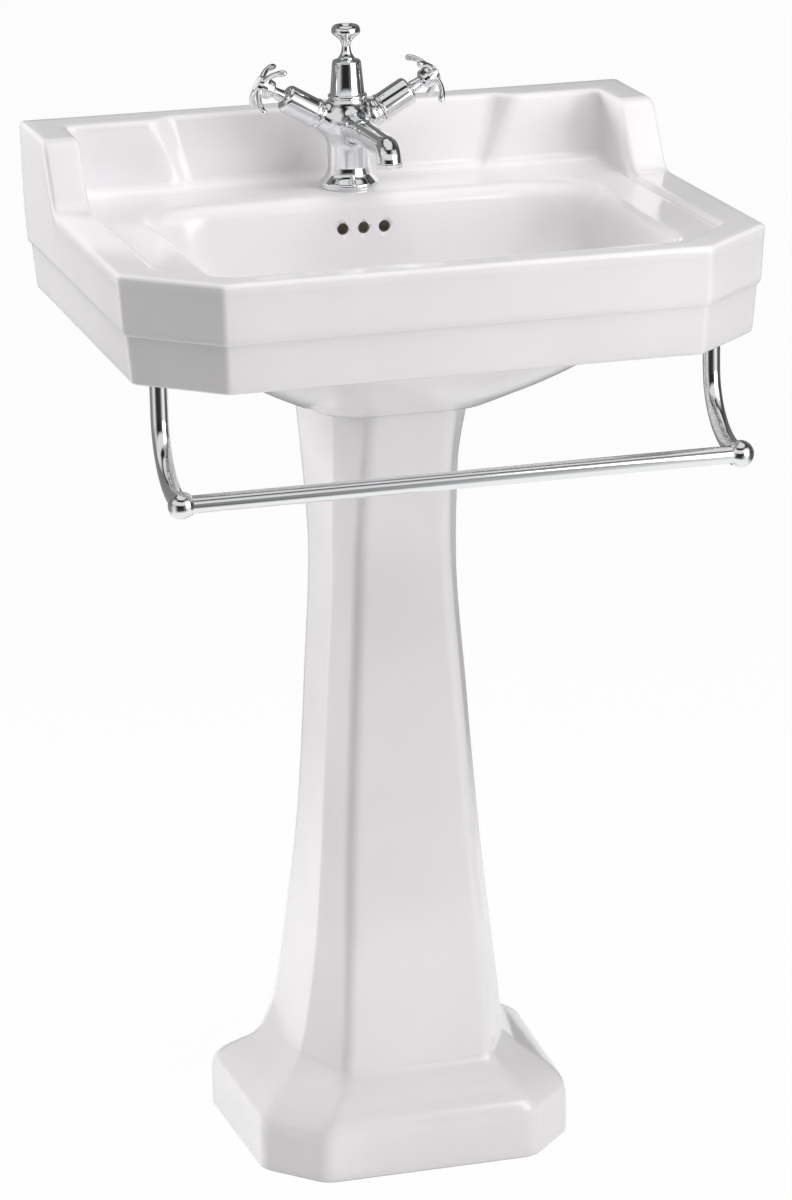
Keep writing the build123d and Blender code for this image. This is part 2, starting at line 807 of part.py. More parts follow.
with BuildPart() as cap:
    with BuildSketch(side_plane(frame)):
        with BuildLine():
            middle = dome_middle(cap_radius, hub_end, cap_rise)
            Line((0, cap_seat), (cap_radius, cap_seat))
            Line((cap_radius, cap_seat), (cap_radius, hub_end))
            ThreePointArc((cap_radius, hub_end), middle, (0, hub_end + cap_rise))
            Line((0, hub_end + cap_rise), (0, cap_seat))
        make_face()
    revolve(axis=Axis(frame.origin, frame.z_dir))
pieces["hot_cap"] = cap

# The cold side is the mirror image of the hot side
for name in ("valve", "packing", "shroud", "spindle", "handle", "handle_screw", "cap"):
    with BuildPart() as cold_piece:
        mirror(pieces["hot_" + name].part, about=Plane.YZ)
    pieces["cold_" + name] = cold_piece

# Rod tower on the tap, lift rod through it, and the knob on top
with BuildPart() as rod_tower:
    spin(
        tap_frame,
        (0, body_top),
        (tower_collar, body_top),
        (tower_collar, body_top + 3),
        (tower_foot, body_top + 3.6),
        (tower_shoulder, tower_top - 5),
        (tower_shoulder - 0.4, tower_top),
        (0, tower_top),
        rounds=[
            ((tower_collar, body_top), 1.0),
            ((tower_collar, body_top + 3), 1.2),
            ((tower_shoulder - 0.4, tower_top), 4.0),
        ],
    )
    tube(tap_frame, 0, tower_shoulder - 3, body_top, tower_top - 5, mode=Mode.SUBTRACT)
    tube(tap_frame, 0, rod_radius + 2 * running_clearance, body_top, tower_top + 1, mode=Mode.SUBTRACT)
pieces["rod_tower"] = rod_tower

with BuildPart() as lift_knob:
    with BuildSketch(side_plane(tap_frame)):
        with BuildLine():
            Line((0, knob_foot), (7.4, knob_foot))
            ThreePointArc((7.4, knob_foot), (7.2, knob_foot + 1.6), (6.2, knob_foot + 3))
            ThreePointArc((6.2, knob_foot + 3), (4.2, knob_waist - 2.6), (4.0, knob_waist + 1))
            ThreePointArc((4.0, knob_waist + 1), (5.4, knob_waist + 6), (8.8, knob_rim - 4.6))
            ThreePointArc((8.8, knob_rim - 4.6), (13.0, knob_rim), (9.6, knob_top))
            ThreePointArc((9.6, knob_top), (6.6, knob_top - 1.6), (5.4, knob_top - 4.6))
            ThreePointArc((5.4, knob_top - 4.6), dome_middle(5.4, knob_top - 4.6, -1.4), (0, knob_top - 6))
            Line((0, knob_top - 6), (0, knob_foot))
        make_face()
    revolve(axis=Axis(tap_frame.origin, tap_frame.z_dir))
    tube(tap_frame, 0, rod_radius + socket_clearance, knob_foot, knob_rim - 6, mode=Mode.SUBTRACT)
pieces["lift_knob"] = lift_knob

with BuildPart() as lift_rod:
    tube(tap_frame, 0, rod_radius, rod_bottom - deck_z, knob_rim - 6)
pieces["lift_rod"] = lift_rod

# Pop-up lever: at rest its outer end hangs low, so that it swings as far above level as below
strap_y = tap_y + strap_offset + strap_thickness / 2
pivot_y = waste_y + pivot_reach
outer_arm = strap_y - pivot_y
rest_tilt = atan2(lift_travel / 2, outer_arm)
pivot_frame = Plane(
    origin=(0, pivot_y, pivot_height),
    x_dir=(1, 0, 0),
    z_dir=(0, cos(rest_tilt), -sin(rest_tilt)),
)
plug_travel = 2 * pivot_reach * tan(rest_tilt)
with BuildPart() as ball_rod:
    tube(pivot_frame, 0, ball_rod_radius, -pivot_reach - 3, outer_arm + 14)
    with Locations(pivot_frame.origin):
        Sphere(ball_joint)
pieces["ball_rod"] = ball_rod

# Strap between the lift rod and the lever: its head is folded round the rod
strap_top = rod_bottom + 42
strap_rest = pivot_height - lift_travel / 2
strap_pitch = 12.0
strap_plane = Plane.XZ.offset(-strap_y - strap_thickness / 2)
with BuildPart() as clevis_strap:
    with BuildSketch(strap_plane):
        with Locations((0, (strap_top + strap_rest - strap_pitch) / 2)):
            Rectangle(strap_width, strap_top - strap_rest + strap_pitch)
        with Locations((0, strap_rest)):
            Circle(strap_hole, mode=Mode.SUBTRACT)
        for step in range(2, 6):
            with Locations((0, strap_rest + strap_pitch * step)):
                Circle(strap_hole * 0.6, mode=Mode.SUBTRACT)
    extrude(amount=strap_thickness)
    for tab_top in (strap_top, strap_top - 14):
        with Locations((0, strap_y - strap_thickness / 2, tab_top)):
            Box(
                strap_width,
                2 * strap_offset + 1,
                strap_thickness,
                align=(Align.CENTER, Align.MAX, Align.MAX),
            )
    tube(tap_frame, 0, rod_radius + socket_clearance, -deck_z, 0, mode=Mode.SUBTRACT)
    with Locations(Plane.XZ.offset(-strap_y - strap_thickness)):
        with Locations((0, strap_top - 8)):
            Cylinder(2.05, 4 * strap_thickness, mode=Mode.SUBTRACT)
pieces["clevis_strap"] = clevis_strap

screw_frame = Plane(origin=(0, tap_y, strap_top - 8), x_dir=(1, 0, 0), z_dir=(0, 1, 0))
screw_start = rod_radius + touch_gap / 3
strap_back = strap_offset + strap_thickness
with BuildPart() as strap_screw:
    tube(screw_frame, 0, 2.0, screw_start, strap_back + 0.1)
    tube(screw_frame, 0, 5.5, strap_back + 0.1, strap_back + 8)
    with Locations(screw_frame.offset(strap_back + 4)):
        with PolarLocations(5.8, 12):
            Cylinder(0.8, 12, mode=Mode.SUBTRACT)
pieces["strap_screw"] = strap_screw

# Spring clip that keeps the lever in the strap, one leg on each side of it
clip_gap = 3.0
clip_thickness = 0.8
clip_side = strap_width / 2 + 3
with BuildPart() as rod_spring_clip:
    clip_frame = pivot_frame.offset(outer_arm / cos(rest_tilt))
    clip_half = strap_thickness / 2 + clip_gap
    with Locations(clip_frame.offset(-clip_half), clip_frame.offset(clip_half)):
        Box(2 * clip_side, 7, clip_thickness)
    with Locations(clip_frame):
        with Locations((clip_side, 0, 0)):
            Box(clip_thickness, 7, 2 * clip_half + clip_thickness)
    tube(pivot_frame, 0, ball_rod_radius + running_clearance, 0, 2 * outer_arm, mode=Mode.SUBTRACT)
pieces["rod_spring_clip"] = rod_spring_clip

# Waste: flanged barrel through the bowl, clamped from below, over a tee with the lever's port
flange_seat = bowl_floor - flange_sink + flange_seal_height
flange_top = flange_seat + flange_thickness
slot_height = 9.0
spider_height = 690.0
with BuildPart() as waste_flange:
    spin(
        waste_frame,
        (barrel_bore, barrel_bottom),
        (barrel_radius, barrel_bottom),
        (barrel_radius, flange_seat),
        (flange_radius, flange_seat),
        (flange_radius, flange_top - 0.8),
        (plug_radius + 1, flange_top),
        (barrel_bore + 4.5, flange_top - 0.8),
        (barrel_bore, flange_top - 7),
    )
    for turn in (0, 90):
        with Locations(Location((0, waste_y, spider_height), (0, 0, turn))):
            Box(2 * barrel_bore + 1, 4.0, 3.0, align=(Align.CENTER, Align.CENTER, Align.MIN))
    guide_bore = stem_radius + 2 * running_clearance
    tube(waste_frame, 0, 2 * stem_radius, spider_height, spider_height + 3)
    tube(waste_frame, 0, guide_bore, spider_height, spider_height + 3, mode=Mode.SUBTRACT)
    slot_bottom = hull_bottom + overflow_floor
    for turn in (45, 135):
        with Locations(Location((0, waste_y, slot_bottom), (0, 0, turn))):
            Box(
                12,
                3 * barrel_radius,
                slot_height,
                align=(Align.CENTER, Align.CENTER, Align.MIN),
                mode=Mode.SUBTRACT,
            )
pieces["waste_flange"] = waste_flange

with BuildPart() as flange_seal:
    tube(waste_frame, waste_bore + 1, flange_radius - 0.5, bowl_floor - flange_sink, flange_seat)
pieces["flange_seal"] = flange_seal

tapered_height = 6.0
with BuildPart() as tapered_washer:
    spin(
        waste_frame,
        (barrel_radius + socket_clearance, hull_bottom - tapered_height),
        (flange_radius - 1, hull_bottom - tapered_height),
        (flange_radius - 3, hull_bottom),
        (barrel_radius + socket_clearance, hull_bottom),
    )
pieces["tapered_washer"] = tapered_washer

nut_height = 7.0
with BuildPart() as waste_backnut:
    hex_nut(
        waste_frame,
        barrel_radius + socket_clearance,
        2 * flange_radius - 8,
        hull_bottom - tapered_height - nut_height,
        nut_height,
    )
pieces["waste_backnut"] = waste_backnut

port_radius = 11.5
seat_radius = 8.5
port_end = pivot_reach + 6.5
seat_start = pivot_reach - 6.5
port_frame = Plane(origin=(0, waste_y, pivot_height), x_dir=(1, 0, 0), z_dir=(0, 1, 0))
with BuildPart() as waste_tee:
    spin(
        waste_frame,
        (0, tail_bottom),
        (tail_radius, tail_bottom),
        (tail_radius, tee_bottom),
        (tee_radius, tee_bottom + 3),
        (tee_radius, tee_top),
        (0, tee_top),
        rounds=[((tee_radius, tee_bottom + 3), 2.0)],
    )
    tube(port_frame, 0, port_radius, 0, port_end)
    tube(waste_frame, 0, barrel_bore, tail_bottom - 1, barrel_bottom - 1, mode=Mode.SUBTRACT)
    tube(waste_frame, 0, barrel_radius + socket_clearance, barrel_bottom - 2, tee_top + 1, mode=Mode.SUBTRACT)
    tube(port_frame, 0, ball_rod_radius + 3, 0, port_end, mode=Mode.SUBTRACT)
    tube(port_frame, 0, seat_radius + socket_clearance, seat_start, port_end + 1, mode=Mode.SUBTRACT)
pieces["waste_tee"] = waste_tee

with BuildPart() as tee_seal:
    tube(waste_frame, barrel_bore + 0.4, barrel_radius - 0.4, barrel_bottom - 2, barrel_bottom)
pieces["tee_seal"] = tee_seal

with BuildPart() as ball_seat:
    tube(port_frame, 0, seat_radius, seat_start, port_end)
    with Locations(pivot_frame.origin):
        Sphere(ball_joint + running_clearance, mode=Mode.SUBTRACT)
    tube(port_frame, 0, ball_rod_radius + 2, seat_start, port_end, mode=Mode.SUBTRACT)
pieces["ball_seat"] = ball_seat

with BuildPart() as pivot_nut:
    spin(
        port_frame,
        (port_radius + socket_clearance, port_end - 7),
        (port_radius + 3.2, port_end - 7),
        (port_radius + 3.2, port_end + 3),
        (ball_rod_radius + 3.6, port_end + 4),
        (ball_rod_radius + 3.6, port_end),
        (port_radius + socket_clearance, port_end),
    )
    with Locations(port_frame.offset(port_end)):
        with PolarLocations(port_radius + 3.6, 12):
            Cylinder(1.1, 40, mode=Mode.SUBTRACT)
pieces["pivot_nut"] = pivot_nut

# Plug, open at rest and carried by the tip of the lever
lever_top = pivot_height + plug_travel / 2 + (ball_rod_radius + stem_radius * sin(rest_tilt)) / cos(rest_tilt)
plug_foot = lever_top + touch_gap
plug_face = flange_top + touch_gap + plug_travel
plug_rim = plug_face + 1.2
plug_rise = 3.2
with BuildPart() as waste_plug:
    tube(waste_frame, 0, stem_radius, plug_foot, plug_face)
    tube(waste_frame, 0, stem_radius + 3, plug_face - 5, plug_face)
    with BuildSketch(side_plane(waste_frame)):
        with BuildLine():
            middle = dome_middle(plug_radius, plug_rim, plug_rise)
            Line((0, plug_face), (plug_radius, plug_face))
            Line((plug_radius, plug_face), (plug_radius, plug_rim))
            ThreePointArc((plug_radius, plug_rim), middle, (0, plug_rim + plug_rise))
            Line((0, plug_rim + plug_rise), (0, plug_face))
        make_face()
    revolve(axis=Axis(waste_frame.origin, waste_frame.z_dir))
pieces["waste_plug"] = waste_plug

with BuildPart() as plug_seal:
    spin(
        waste_frame,
        (stem_radius + 3 + socket_clearance, plug_face - 3),
        (barrel_bore - 1, plug_face - 3),
        (barrel_bore + 1.5, plug_face),
        (stem_radius + 3 + socket_clearance, plug_face),
    )
pieces["plug_seal"] = plug_seal

# Towel rail between two balls, each on a bent tube that bolts to a lug under the basin
rail_half = rail_ball_x - 4.0
with BuildPart() as towel_rail:
    with BuildSketch(Plane.YZ.offset(-rail_half)):
        with Locations((rail_y, rail_height)):
            Circle(rail_radius)
            Circle(rail_radius - 1.2, mode=Mode.SUBTRACT)
    extrude(amount=2 * rail_half)
pieces["towel_rail"] = towel_rail

bracket_top = rail_lug_bottom - pad_thickness
bend_offset = bracket_bend * (1 - sin(radians(45)))
for side, sign in (("left", -1), ("right", 1)):
    ball_x = sign * rail_ball_x
    with BuildPart() as bracket:
        with BuildLine() as bracket_path:
            bend_top = (ball_x, bracket_y, rail_height + bracket_bend)
            bend_middle = (ball_x, bracket_y - bend_offset, rail_height + bend_offset)
            bend_end = (ball_x, bracket_y - bracket_bend, rail_height)
            Line((ball_x, bracket_y, bracket_top), bend_top)
            ThreePointArc(bend_top, bend_middle, bend_end)
            Line(bend_end, (ball_x, rail_y + 7, rail_height))
        with BuildSketch(Plane(origin=(ball_x, bracket_y, bracket_top), z_dir=(0, 0, -1))):
            Circle(bracket_radius)
            Circle(bracket_bore, mode=Mode.SUBTRACT)
        sweep(path=bracket_path.wire())
        lug_frame = Plane(origin=(ball_x, bracket_y, 0))
        tube(lug_frame, 0, bracket_bore, bracket_top - 12, bracket_top)
        tube(lug_frame, 0, bracket_stud_radius, bracket_top, rail_lug_bottom + rail_lug_height + 14)
    pieces[side + "_rail_bracket"] = bracket

    with BuildPart() as ball_end:
        with Locations((ball_x, rail_y, rail_height)):
            Sphere(ball_radius)
        ball_frame = Plane(origin=(ball_x, rail_y, rail_height), x_dir=(0, 0, 1), z_dir=(-sign, 0, 0))
        tube(ball_frame, 0, rail_radius + 1.6, ball_radius - 3, ball_radius + 1.2)
        tube(ball_frame, 0, rail_radius + socket_clearance, 4, 2 * ball_radius, mode=Mode.SUBTRACT)
        back_frame = Plane(origin=ball_frame.origin, x_dir=(1, 0, 0), z_dir=(0, 1, 0))
        tube(back_frame, 0, bracket_radius + socket_clearance, 7, 2 * ball_radius, mode=Mode.SUBTRACT)
        with Locations((ball_x - sign * 7.5, rail_y, rail_height)):
            Cylinder(1.6, 2 * ball_radius, align=(Align.CENTER, Align.CENTER, Align.MAX), mode=Mode.SUBTRACT)
    pieces[side + "_ball_end"] = ball_end

with BuildPart() as rail_grub_screws:
    with Locations((-rail_ball_x + 7.5, rail_y, rail_height), (rail_ball_x - 7.5, rail_y, rail_height)):
        with Locations((0, 0, -rail_radius - touch_gap / 3)):
            Cylinder(1.55, 2.4, align=(Align.CENTER, Align.CENTER, Align.MAX))
pieces["rail_grub_screws"] = rail_grub_screws

with BuildPart() as bracket_pads:
    for x in (-rail_ball_x, rail_ball_x):
        tube(
            Plane(origin=(x, bracket_y, 0)),
            bracket_stud_radius + socket_clearance,
            bracket_radius + 1,
            bracket_top,
            rail_lug_bottom,
        )
pieces["bracket_pads"] = bracket_pads

lug_top = rail_lug_bottom + rail_lug_height
with BuildPart() as bracket_washers:
    for x in (-rail_ball_x, rail_ball_x):
        tube(
            Plane(origin=(x, bracket_y, 0)),
            bracket_stud_radius + socket_clearance,
            2.3 * bracket_stud_radius,
            lug_top,
            lug_top + 1.6,
        )
pieces["bracket_washers"] = bracket_washers

for side, sign in (("left", -1), ("right", 1)):
    with BuildPart() as bracket_nut:
        nut_frame = Plane(origin=(sign * rail_ball_x, bracket_y, 0))
        hex_nut(nut_frame, bracket_stud_radius + socket_clearance, 13, lug_top + 1.6, 6.5)
    pieces[side + "_bracket_nut"] = bracket_nut

os.makedirs("parts", exist_ok=True)
for name, piece in pieces.items():
    piece.part.label = name
    export_step(piece.part, f"parts/{name}.step")
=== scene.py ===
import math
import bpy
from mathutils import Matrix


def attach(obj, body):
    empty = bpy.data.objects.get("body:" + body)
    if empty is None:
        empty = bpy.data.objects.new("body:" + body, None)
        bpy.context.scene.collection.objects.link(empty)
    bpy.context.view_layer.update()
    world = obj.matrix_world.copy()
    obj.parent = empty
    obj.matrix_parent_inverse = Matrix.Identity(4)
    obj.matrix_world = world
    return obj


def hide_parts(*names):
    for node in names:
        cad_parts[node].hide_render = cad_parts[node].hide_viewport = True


bl_info = {
    "name": "Pedestal basin",
    "version": (1, 0, 0),
    "blender": (4, 5, 0),
    "location": "View3D > Sidebar > Basin",
    "description": "Glazed basin on a column with a mixer tap, a pop-up waste and a towel rail",
    "category": "Object",
}

import bmesh
import bpy
import numpy as np
from mathutils import Matrix, Vector

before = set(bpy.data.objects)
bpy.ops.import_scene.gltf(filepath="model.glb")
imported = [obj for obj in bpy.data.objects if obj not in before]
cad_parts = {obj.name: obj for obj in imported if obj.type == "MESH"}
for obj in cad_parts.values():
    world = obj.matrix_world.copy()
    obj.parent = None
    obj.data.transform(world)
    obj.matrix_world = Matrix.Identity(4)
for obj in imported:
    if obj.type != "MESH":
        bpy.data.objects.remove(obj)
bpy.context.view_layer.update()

# Millimetres, as the drawing has them, until a shape becomes a mesh
HALF_WIDTH = 280.0
WALL = 235.0
FRONT = -235.0
RIM = 871.0
DECK = 866.0
UPSTAND = 930.0
TAP_Y = 147.0
WASTE_Y = 25.0
RAIL_HEIGHT = 684.0
RAIL_Y = -207.0
BALL_X = 242.3
BRACKET_Y = -134.0
LUG_FOOT = 783.0


# Settings that a user would change


class BasinGlaze(bpy.types.PropertyGroup):
    """Finish of the china"""

    colour: bpy.props.FloatVectorProperty(
        name="Glaze", description="Colour of the white glaze", subtype="COLOR", size=3, default=(0.865, 0.845, 0.852)
    )
    pooled: bpy.props.FloatVectorProperty(
        name="Pooled glaze", description="Colour where the glaze lies thicker", subtype="COLOR", size=3, default=(0.83, 0.81, 0.825)
    )
    clay: bpy.props.FloatVectorProperty(
        name="Bare clay", description="Colour of the unglazed foot and back", subtype="COLOR", size=3, default=(0.6, 0.53, 0.43)
    )
    roughness: bpy.props.FloatProperty(
        name="Roughness", description="How far the glaze blurs what it reflects", subtype="FACTOR", default=0.1
    )
    ripple: bpy.props.FloatProperty(
        name="Ripple", description="Height of the glaze's slow waves", subtype="DISTANCE", default=0.00006
    )
    upstand_round: bpy.props.FloatProperty(
        name="Upstand round", description="Radius of the upstand's upper edges", subtype="DISTANCE", default=0.0045
    )


class BasinPlate(bpy.types.PropertyGroup):
    """Finish of the metal, rubber and plastic"""

    chrome: bpy.props.FloatVectorProperty(
        name="Chrome", description="Colour of the polished plate", subtype="COLOR", size=3, default=(0.84, 0.85, 0.86)
    )
    chrome_roughness: bpy.props.FloatProperty(
        name="Chrome roughness", description="How far the plate blurs what it reflects", subtype="FACTOR", default=0.035
    )
    brass: bpy.props.FloatVectorProperty(
        name="Brass", description="Colour of the unplated brass", subtype="COLOR", size=3, default=(0.78, 0.58, 0.28)
    )
    zinc: bpy.props.FloatVectorProperty(
        name="Zinc", description="Colour of the zinc on the steel parts", subtype="COLOR", size=3, default=(0.6, 0.61, 0.62)
    )
    rubber: bpy.props.FloatVectorProperty(
        name="Rubber", description="Colour of the washers and seals", subtype="COLOR", size=3, default=(0.03, 0.03, 0.032)
    )
    plastic: bpy.props.FloatVectorProperty(
        name="Plastic", description="Colour of the moulded inserts", subtype="COLOR", size=3, default=(0.8, 0.8, 0.77)
    )


class BasinTap(bpy.types.PropertyGroup):
    """Sizes of the tap and the rail that may change inside their solids"""

    arm_round: bpy.props.FloatProperty(
        name="Arm thickness", description="Radius of a handle's arm at its thickest", subtype="DISTANCE", default=0.0029
    )
    rail_radius: bpy.props.FloatProperty(
        name="Rail radius", description="Outer radius of the rail", subtype="DISTANCE", default=0.0076
    )
    bracket_radius: bpy.props.FloatProperty(
        name="Bracket radius", description="Outer radius of a bracket's tube", subtype="DISTANCE", default=0.0075
    )
    lathe_steps: bpy.props.IntProperty(name="Lathe steps", description="Faces round a turned piece", default=96)


class BasinStage(bpy.types.PropertyGroup):
    """Camera, lamps and floor"""

    lens: bpy.props.FloatProperty(
        name="Lens", description="Focal length", subtype="DISTANCE_CAMERA", default=136.8
    )
    lamp_level: bpy.props.FloatProperty(name="Lamps", description="Share of the lamps' full power", default=1.0)
    fill_level: bpy.props.FloatProperty(name="Fill", description="Strength of the light from all round", default=0.18)
    floor_level: bpy.props.FloatProperty(
        name="Floor", description="Share of plain white in the floor that the camera sees", subtype="FACTOR", default=0.97
    )


# Shapes


def put(name, mesh):
    piece = bpy.data.objects.new(name, mesh)
    bpy.context.scene.collection.objects.link(piece)
    return piece


def bake(piece):
    """Turn a piece's modifiers into its plain mesh."""
    context = bpy.context
    context.view_layer.update()
    result = bpy.data.meshes.new_from_object(piece.evaluated_get(context.evaluated_depsgraph_get()))
    piece.modifiers.clear()
    piece.data = result
    return piece


def settle(work, mesh, merge=1e-7):
    """Merge doubles, turn the faces outwards and write a closed bmesh into a mesh."""
    bmesh.ops.remove_doubles(work, verts=work.verts, dist=merge)
    bmesh.ops.recalc_face_normals(work, faces=work.faces)
    if work.calc_volume(signed=True) < 0:
        bmesh.ops.reverse_faces(work, faces=work.faces)
    work.to_mesh(mesh)
    work.free()
    mesh.shade_smooth()


def ring_mesh(name, rows, long_closed=True):
    """Mesh of quads over rows of equal length, each row a loop out and back, in millimetres."""
    count, size = len(rows), len(rows[0])
    points = np.vstack(rows) * 0.001
    row = np.arange(count if long_closed else count - 1)[:, None]
    place = np.arange(size)[None, :]
    following = (place + 1) % size
    above = (row + 1) % count
    faces = np.stack((row * size + place, row * size + following, above * size + following, above * size + place), axis=-1)
    faces = faces.reshape(-1, 4).tolist()
    if not long_closed:
        last = (count - 1) * size
        for k in range(size // 2 - 1):
            ring = (k, k + 1, size - 2 - k, size - 1 - k)
            faces += [ring, tuple(last + n for n in reversed(ring))]
    mesh = bpy.data.meshes.new(name)
    mesh.from_pydata(points.tolist(), [], faces)
    work = bmesh.new()
    work.from_mesh(mesh)
    settle(work, mesh)
    return put(name, mesh)


def cut(piece, tool):
    """Take a closed tool out of a closed piece."""
    knife = put("knife", tool)
    change = piece.modifiers.new("cut", "BOOLEAN")
    change.operation = "DIFFERENCE"
    change.solver = "EXACT"
    change.object = knife
    bake(piece)
    bpy.data.objects.remove(knife)


def rod_mesh(rods, steps=48):
    """Mesh of plain rods, each (centre, axis, radius, length) in millimetres."""
    work = bmesh.new()
    for centre, axis, radius, length in rods:
        turn = Vector(axis).to_track_quat("Z", "Y").to_matrix().to_4x4()
        bmesh.ops.create_cone(
            work,
            cap_ends=True,
            segments=steps,
            radius1=radius * 0.001,
            radius2=radius * 0.001,
            depth=length * 0.001,
            matrix=Matrix.Translation(Vector(centre) * 0.001) @ turn,
        )
    mesh = bpy.data.meshes.new("rods")
    work.to_mesh(mesh)
    work.free()
    return mesh


def block_mesh(low, high):
    """Mesh of a plain block between two corners in millimetres."""
    low, high = Vector(low), Vector(high)
    work = bmesh.new()
    size = Matrix.Diagonal(((high - low) * 0.001).to_4d())
    bmesh.ops.create_cube(work, size=1, matrix=Matrix.Translation((low + high) * 0.0005) @ size)
    mesh = bpy.data.meshes.new("block")
    work.to_mesh(mesh)
    work.free()
    return mesh


def rounding(before, corner, after, radius, steps=4):
    """Rows of points that round a corner, for many corners at once."""
    back, ahead = before - corner, after - corner
    back_size = np.linalg.norm(back, axis=1, keepdims=True)
    ahead_size = np.linalg.norm(ahead, axis=1, keepdims=True)
    back, ahead = back / back_size, ahead / ahead_size
    half = np.arccos(np.clip((back * ahead).sum(1, keepdims=True), -0.9999, 0.9999)) / 2
    reach = np.minimum(np.reshape(radius, (-1, 1)) / np.tan(half), 0.62 * np.minimum(back_size, ahead_size))
    aim = back + ahead
    centre = corner + aim / np.linalg.norm(aim, axis=1, keepdims=True) * reach / np.cos(half)
    first, last = corner + back * reach - centre, corner + ahead * reach - centre
    sector = math.pi - 2 * half
    rows = []
    for share in np.linspace(0, 1, steps + 1):
        rows.append(centre + (first * np.sin((1 - share) * sector) + last * np.sin(share * sector)) / np.sin(sector))
    return rows


def between(first, last, count):
    """Rows between two rows, without either."""
    return [first + (last - first) * k / (count + 1) for k in range(1, count + 1)]


def smooth_through(keys, values, marks):
    """Values at the marks on a smooth line through the keys, with no overshoot between them."""
    keys, values = np.array(keys, float), np.array(values, float)
    gaps = np.diff(keys)
    slopes = np.diff(values, axis=0) / gaps[:, None]
    inner = np.where(slopes[1:] * slopes[:-1] > 0, 2 * slopes[1:] * slopes[:-1] / (slopes[1:] + slopes[:-1] + 1e-12), 0)
    ends = np.concatenate((slopes[:1], inner, slopes[-1:]))
    place = np.clip(np.searchsorted(keys, marks, side="right") - 1, 0, len(gaps) - 1)
    share = ((marks - keys[place]) / gaps[place])[:, None]
    width = gaps[place][:, None]
    return (
        (1 + 2 * share) * (1 - share) ** 2 * values[place]
        + share * (1 - share) ** 2 * width * ends[place]
        + share**2 * (3 - 2 * share) * values[place + 1]
        + share**2 * (share - 1) * width * ends[place + 1]
    )


def span(start, end, count):
    share = np.arange(count)[:, None] / count
    return np.array(start, float) * (1 - share) + np.array(end, float) * share


def bow(centre, radius, first, last, count):
    turn = np.radians(first + (last - first) * np.arange(count) / count)
    return np.stack((centre[0] + radius * np.cos(turn), centre[1] + radius * np.sin(turn)), axis=1)


def level(loop, z):
    return np.column_stack((loop, np.broadcast_to(z, len(loop))))


# Cast shapes: a field of distances, blended where parts meet, and its skin


def blended(first, second, blend):
    """Least of two distances, rounded over where they meet."""
    share = np.clip(0.5 + 0.5 * (second - first) / blend, 0, 1)
    return second * (1 - share) + first * share - blend * share * (1 - share)


def from_run(points, start, end, first_radius, last_radius):
    """Distance from a tapering run with round ends."""
    start, end = np.array(start, float), np.array(end, float)
    run = end - start
    share = np.clip((points - start) @ run / (run @ run), 0, 1)
    return np.linalg.norm(points - start - share[..., None] * run, axis=-1) - (first_radius + (last_radius - first_radius) * share)


def skin_mesh(name, field, low, high, step):
    """Closed mesh on the zero of a field: one point in each cell that it crosses, moved onto the exact place."""
    axes = [np.arange(a, b + step, step) for a, b in zip(low, high)]
    value = field(np.stack(np.meshgrid(*axes, indexing="ij"), axis=-1))
    inside = value < 0
    size = [n - 1 for n in value.shape]
    total, weight = np.zeros((*size, 3)), np.zeros(size)
    corners = [(a, b, c) for a in (0, 1) for b in (0, 1) for c in (0, 1)]

    def part(grid, corner):
        return grid[tuple(slice(k, k + n) for k, n in zip(corner, size))]

    for near in corners:
        for axis in range(3):
            if near[axis]:
                continue
            far = tuple(1 if k == axis else n for k, n in enumerate(near))
            crossed = part(inside, near) != part(inside, far)
            here, there = part(value, near), part(value, far)
            share = np.where(crossed, here / np.where(crossed, here - there, 1), 0)
            place = np.array(near, float) + share[..., None] * (np.array(far) - np.array(near))
            total += place * crossed[..., None]
            weight += crossed
    used = weight > 0
    index = np.full(size, -1)
    index[used] = np.arange(used.sum())
    cells = np.argwhere(used)
    points = np.array(low, float) + step * (cells + total[used] / weight[used][:, None])
    reach = 0.05 * step
    for _ in range(4):
        slope = np.stack([(field(points + reach * e) - field(points - reach * e)) / (2 * reach) for e in np.eye(3)], axis=-1)
        points = points - np.clip(field(points) / np.maximum((slope**2).sum(-1), 0.2), -step, step)[:, None] * slope
    faces = []
    for axis in range(3):
        ahead = [0, 0, 0]
        ahead[axis] = 1
        whole = tuple(slice(None if not k else 1, None) for k in ahead)
        less = tuple(slice(None, None if not k else -1) for k in ahead)
        edges = np.argwhere(inside[whole] != inside[less])
        others = [k for k in range(3) if k != axis]
        edges = edges[(edges[:, others[0]] > 0) & (edges[:, others[1]] > 0)]
        one, two = np.zeros(3, int), np.zeros(3, int)
        one[others[0]], two[others[1]] = 1, 1
        ring = [index[tuple((edges - shift).T)] for shift in (0 * one, one, one + two, two)]
        faces.append(np.stack(ring, axis=-1))
    mesh = bpy.data.meshes.new(name)
    mesh.from_pydata((points * 0.001).tolist(), [], np.vstack(faces).tolist())
    work = bmesh.new()
    work.from_mesh(mesh)
    settle(work, mesh, 1e-8)
    return put(name, mesh)


# Turned and bent metal


def softened(profile, ring):
    """Points of a profile whose corners are rounded; each point is (radius, height) or (radius, height, rounding)."""
    points = []
    for k, corner in enumerate(profile):
        if len(corner) == 2 or (not ring and k in (0, len(profile) - 1)):
            points.append(corner[:2])
            continue
        near = [np.array([p[:2]], float) for p in (profile[k - 1], corner, profile[(k + 1) % len(profile)])]
        points += [tuple(row[0]) for row in rounding(*near, corner[2], 6)]
    return np.array(points, float)


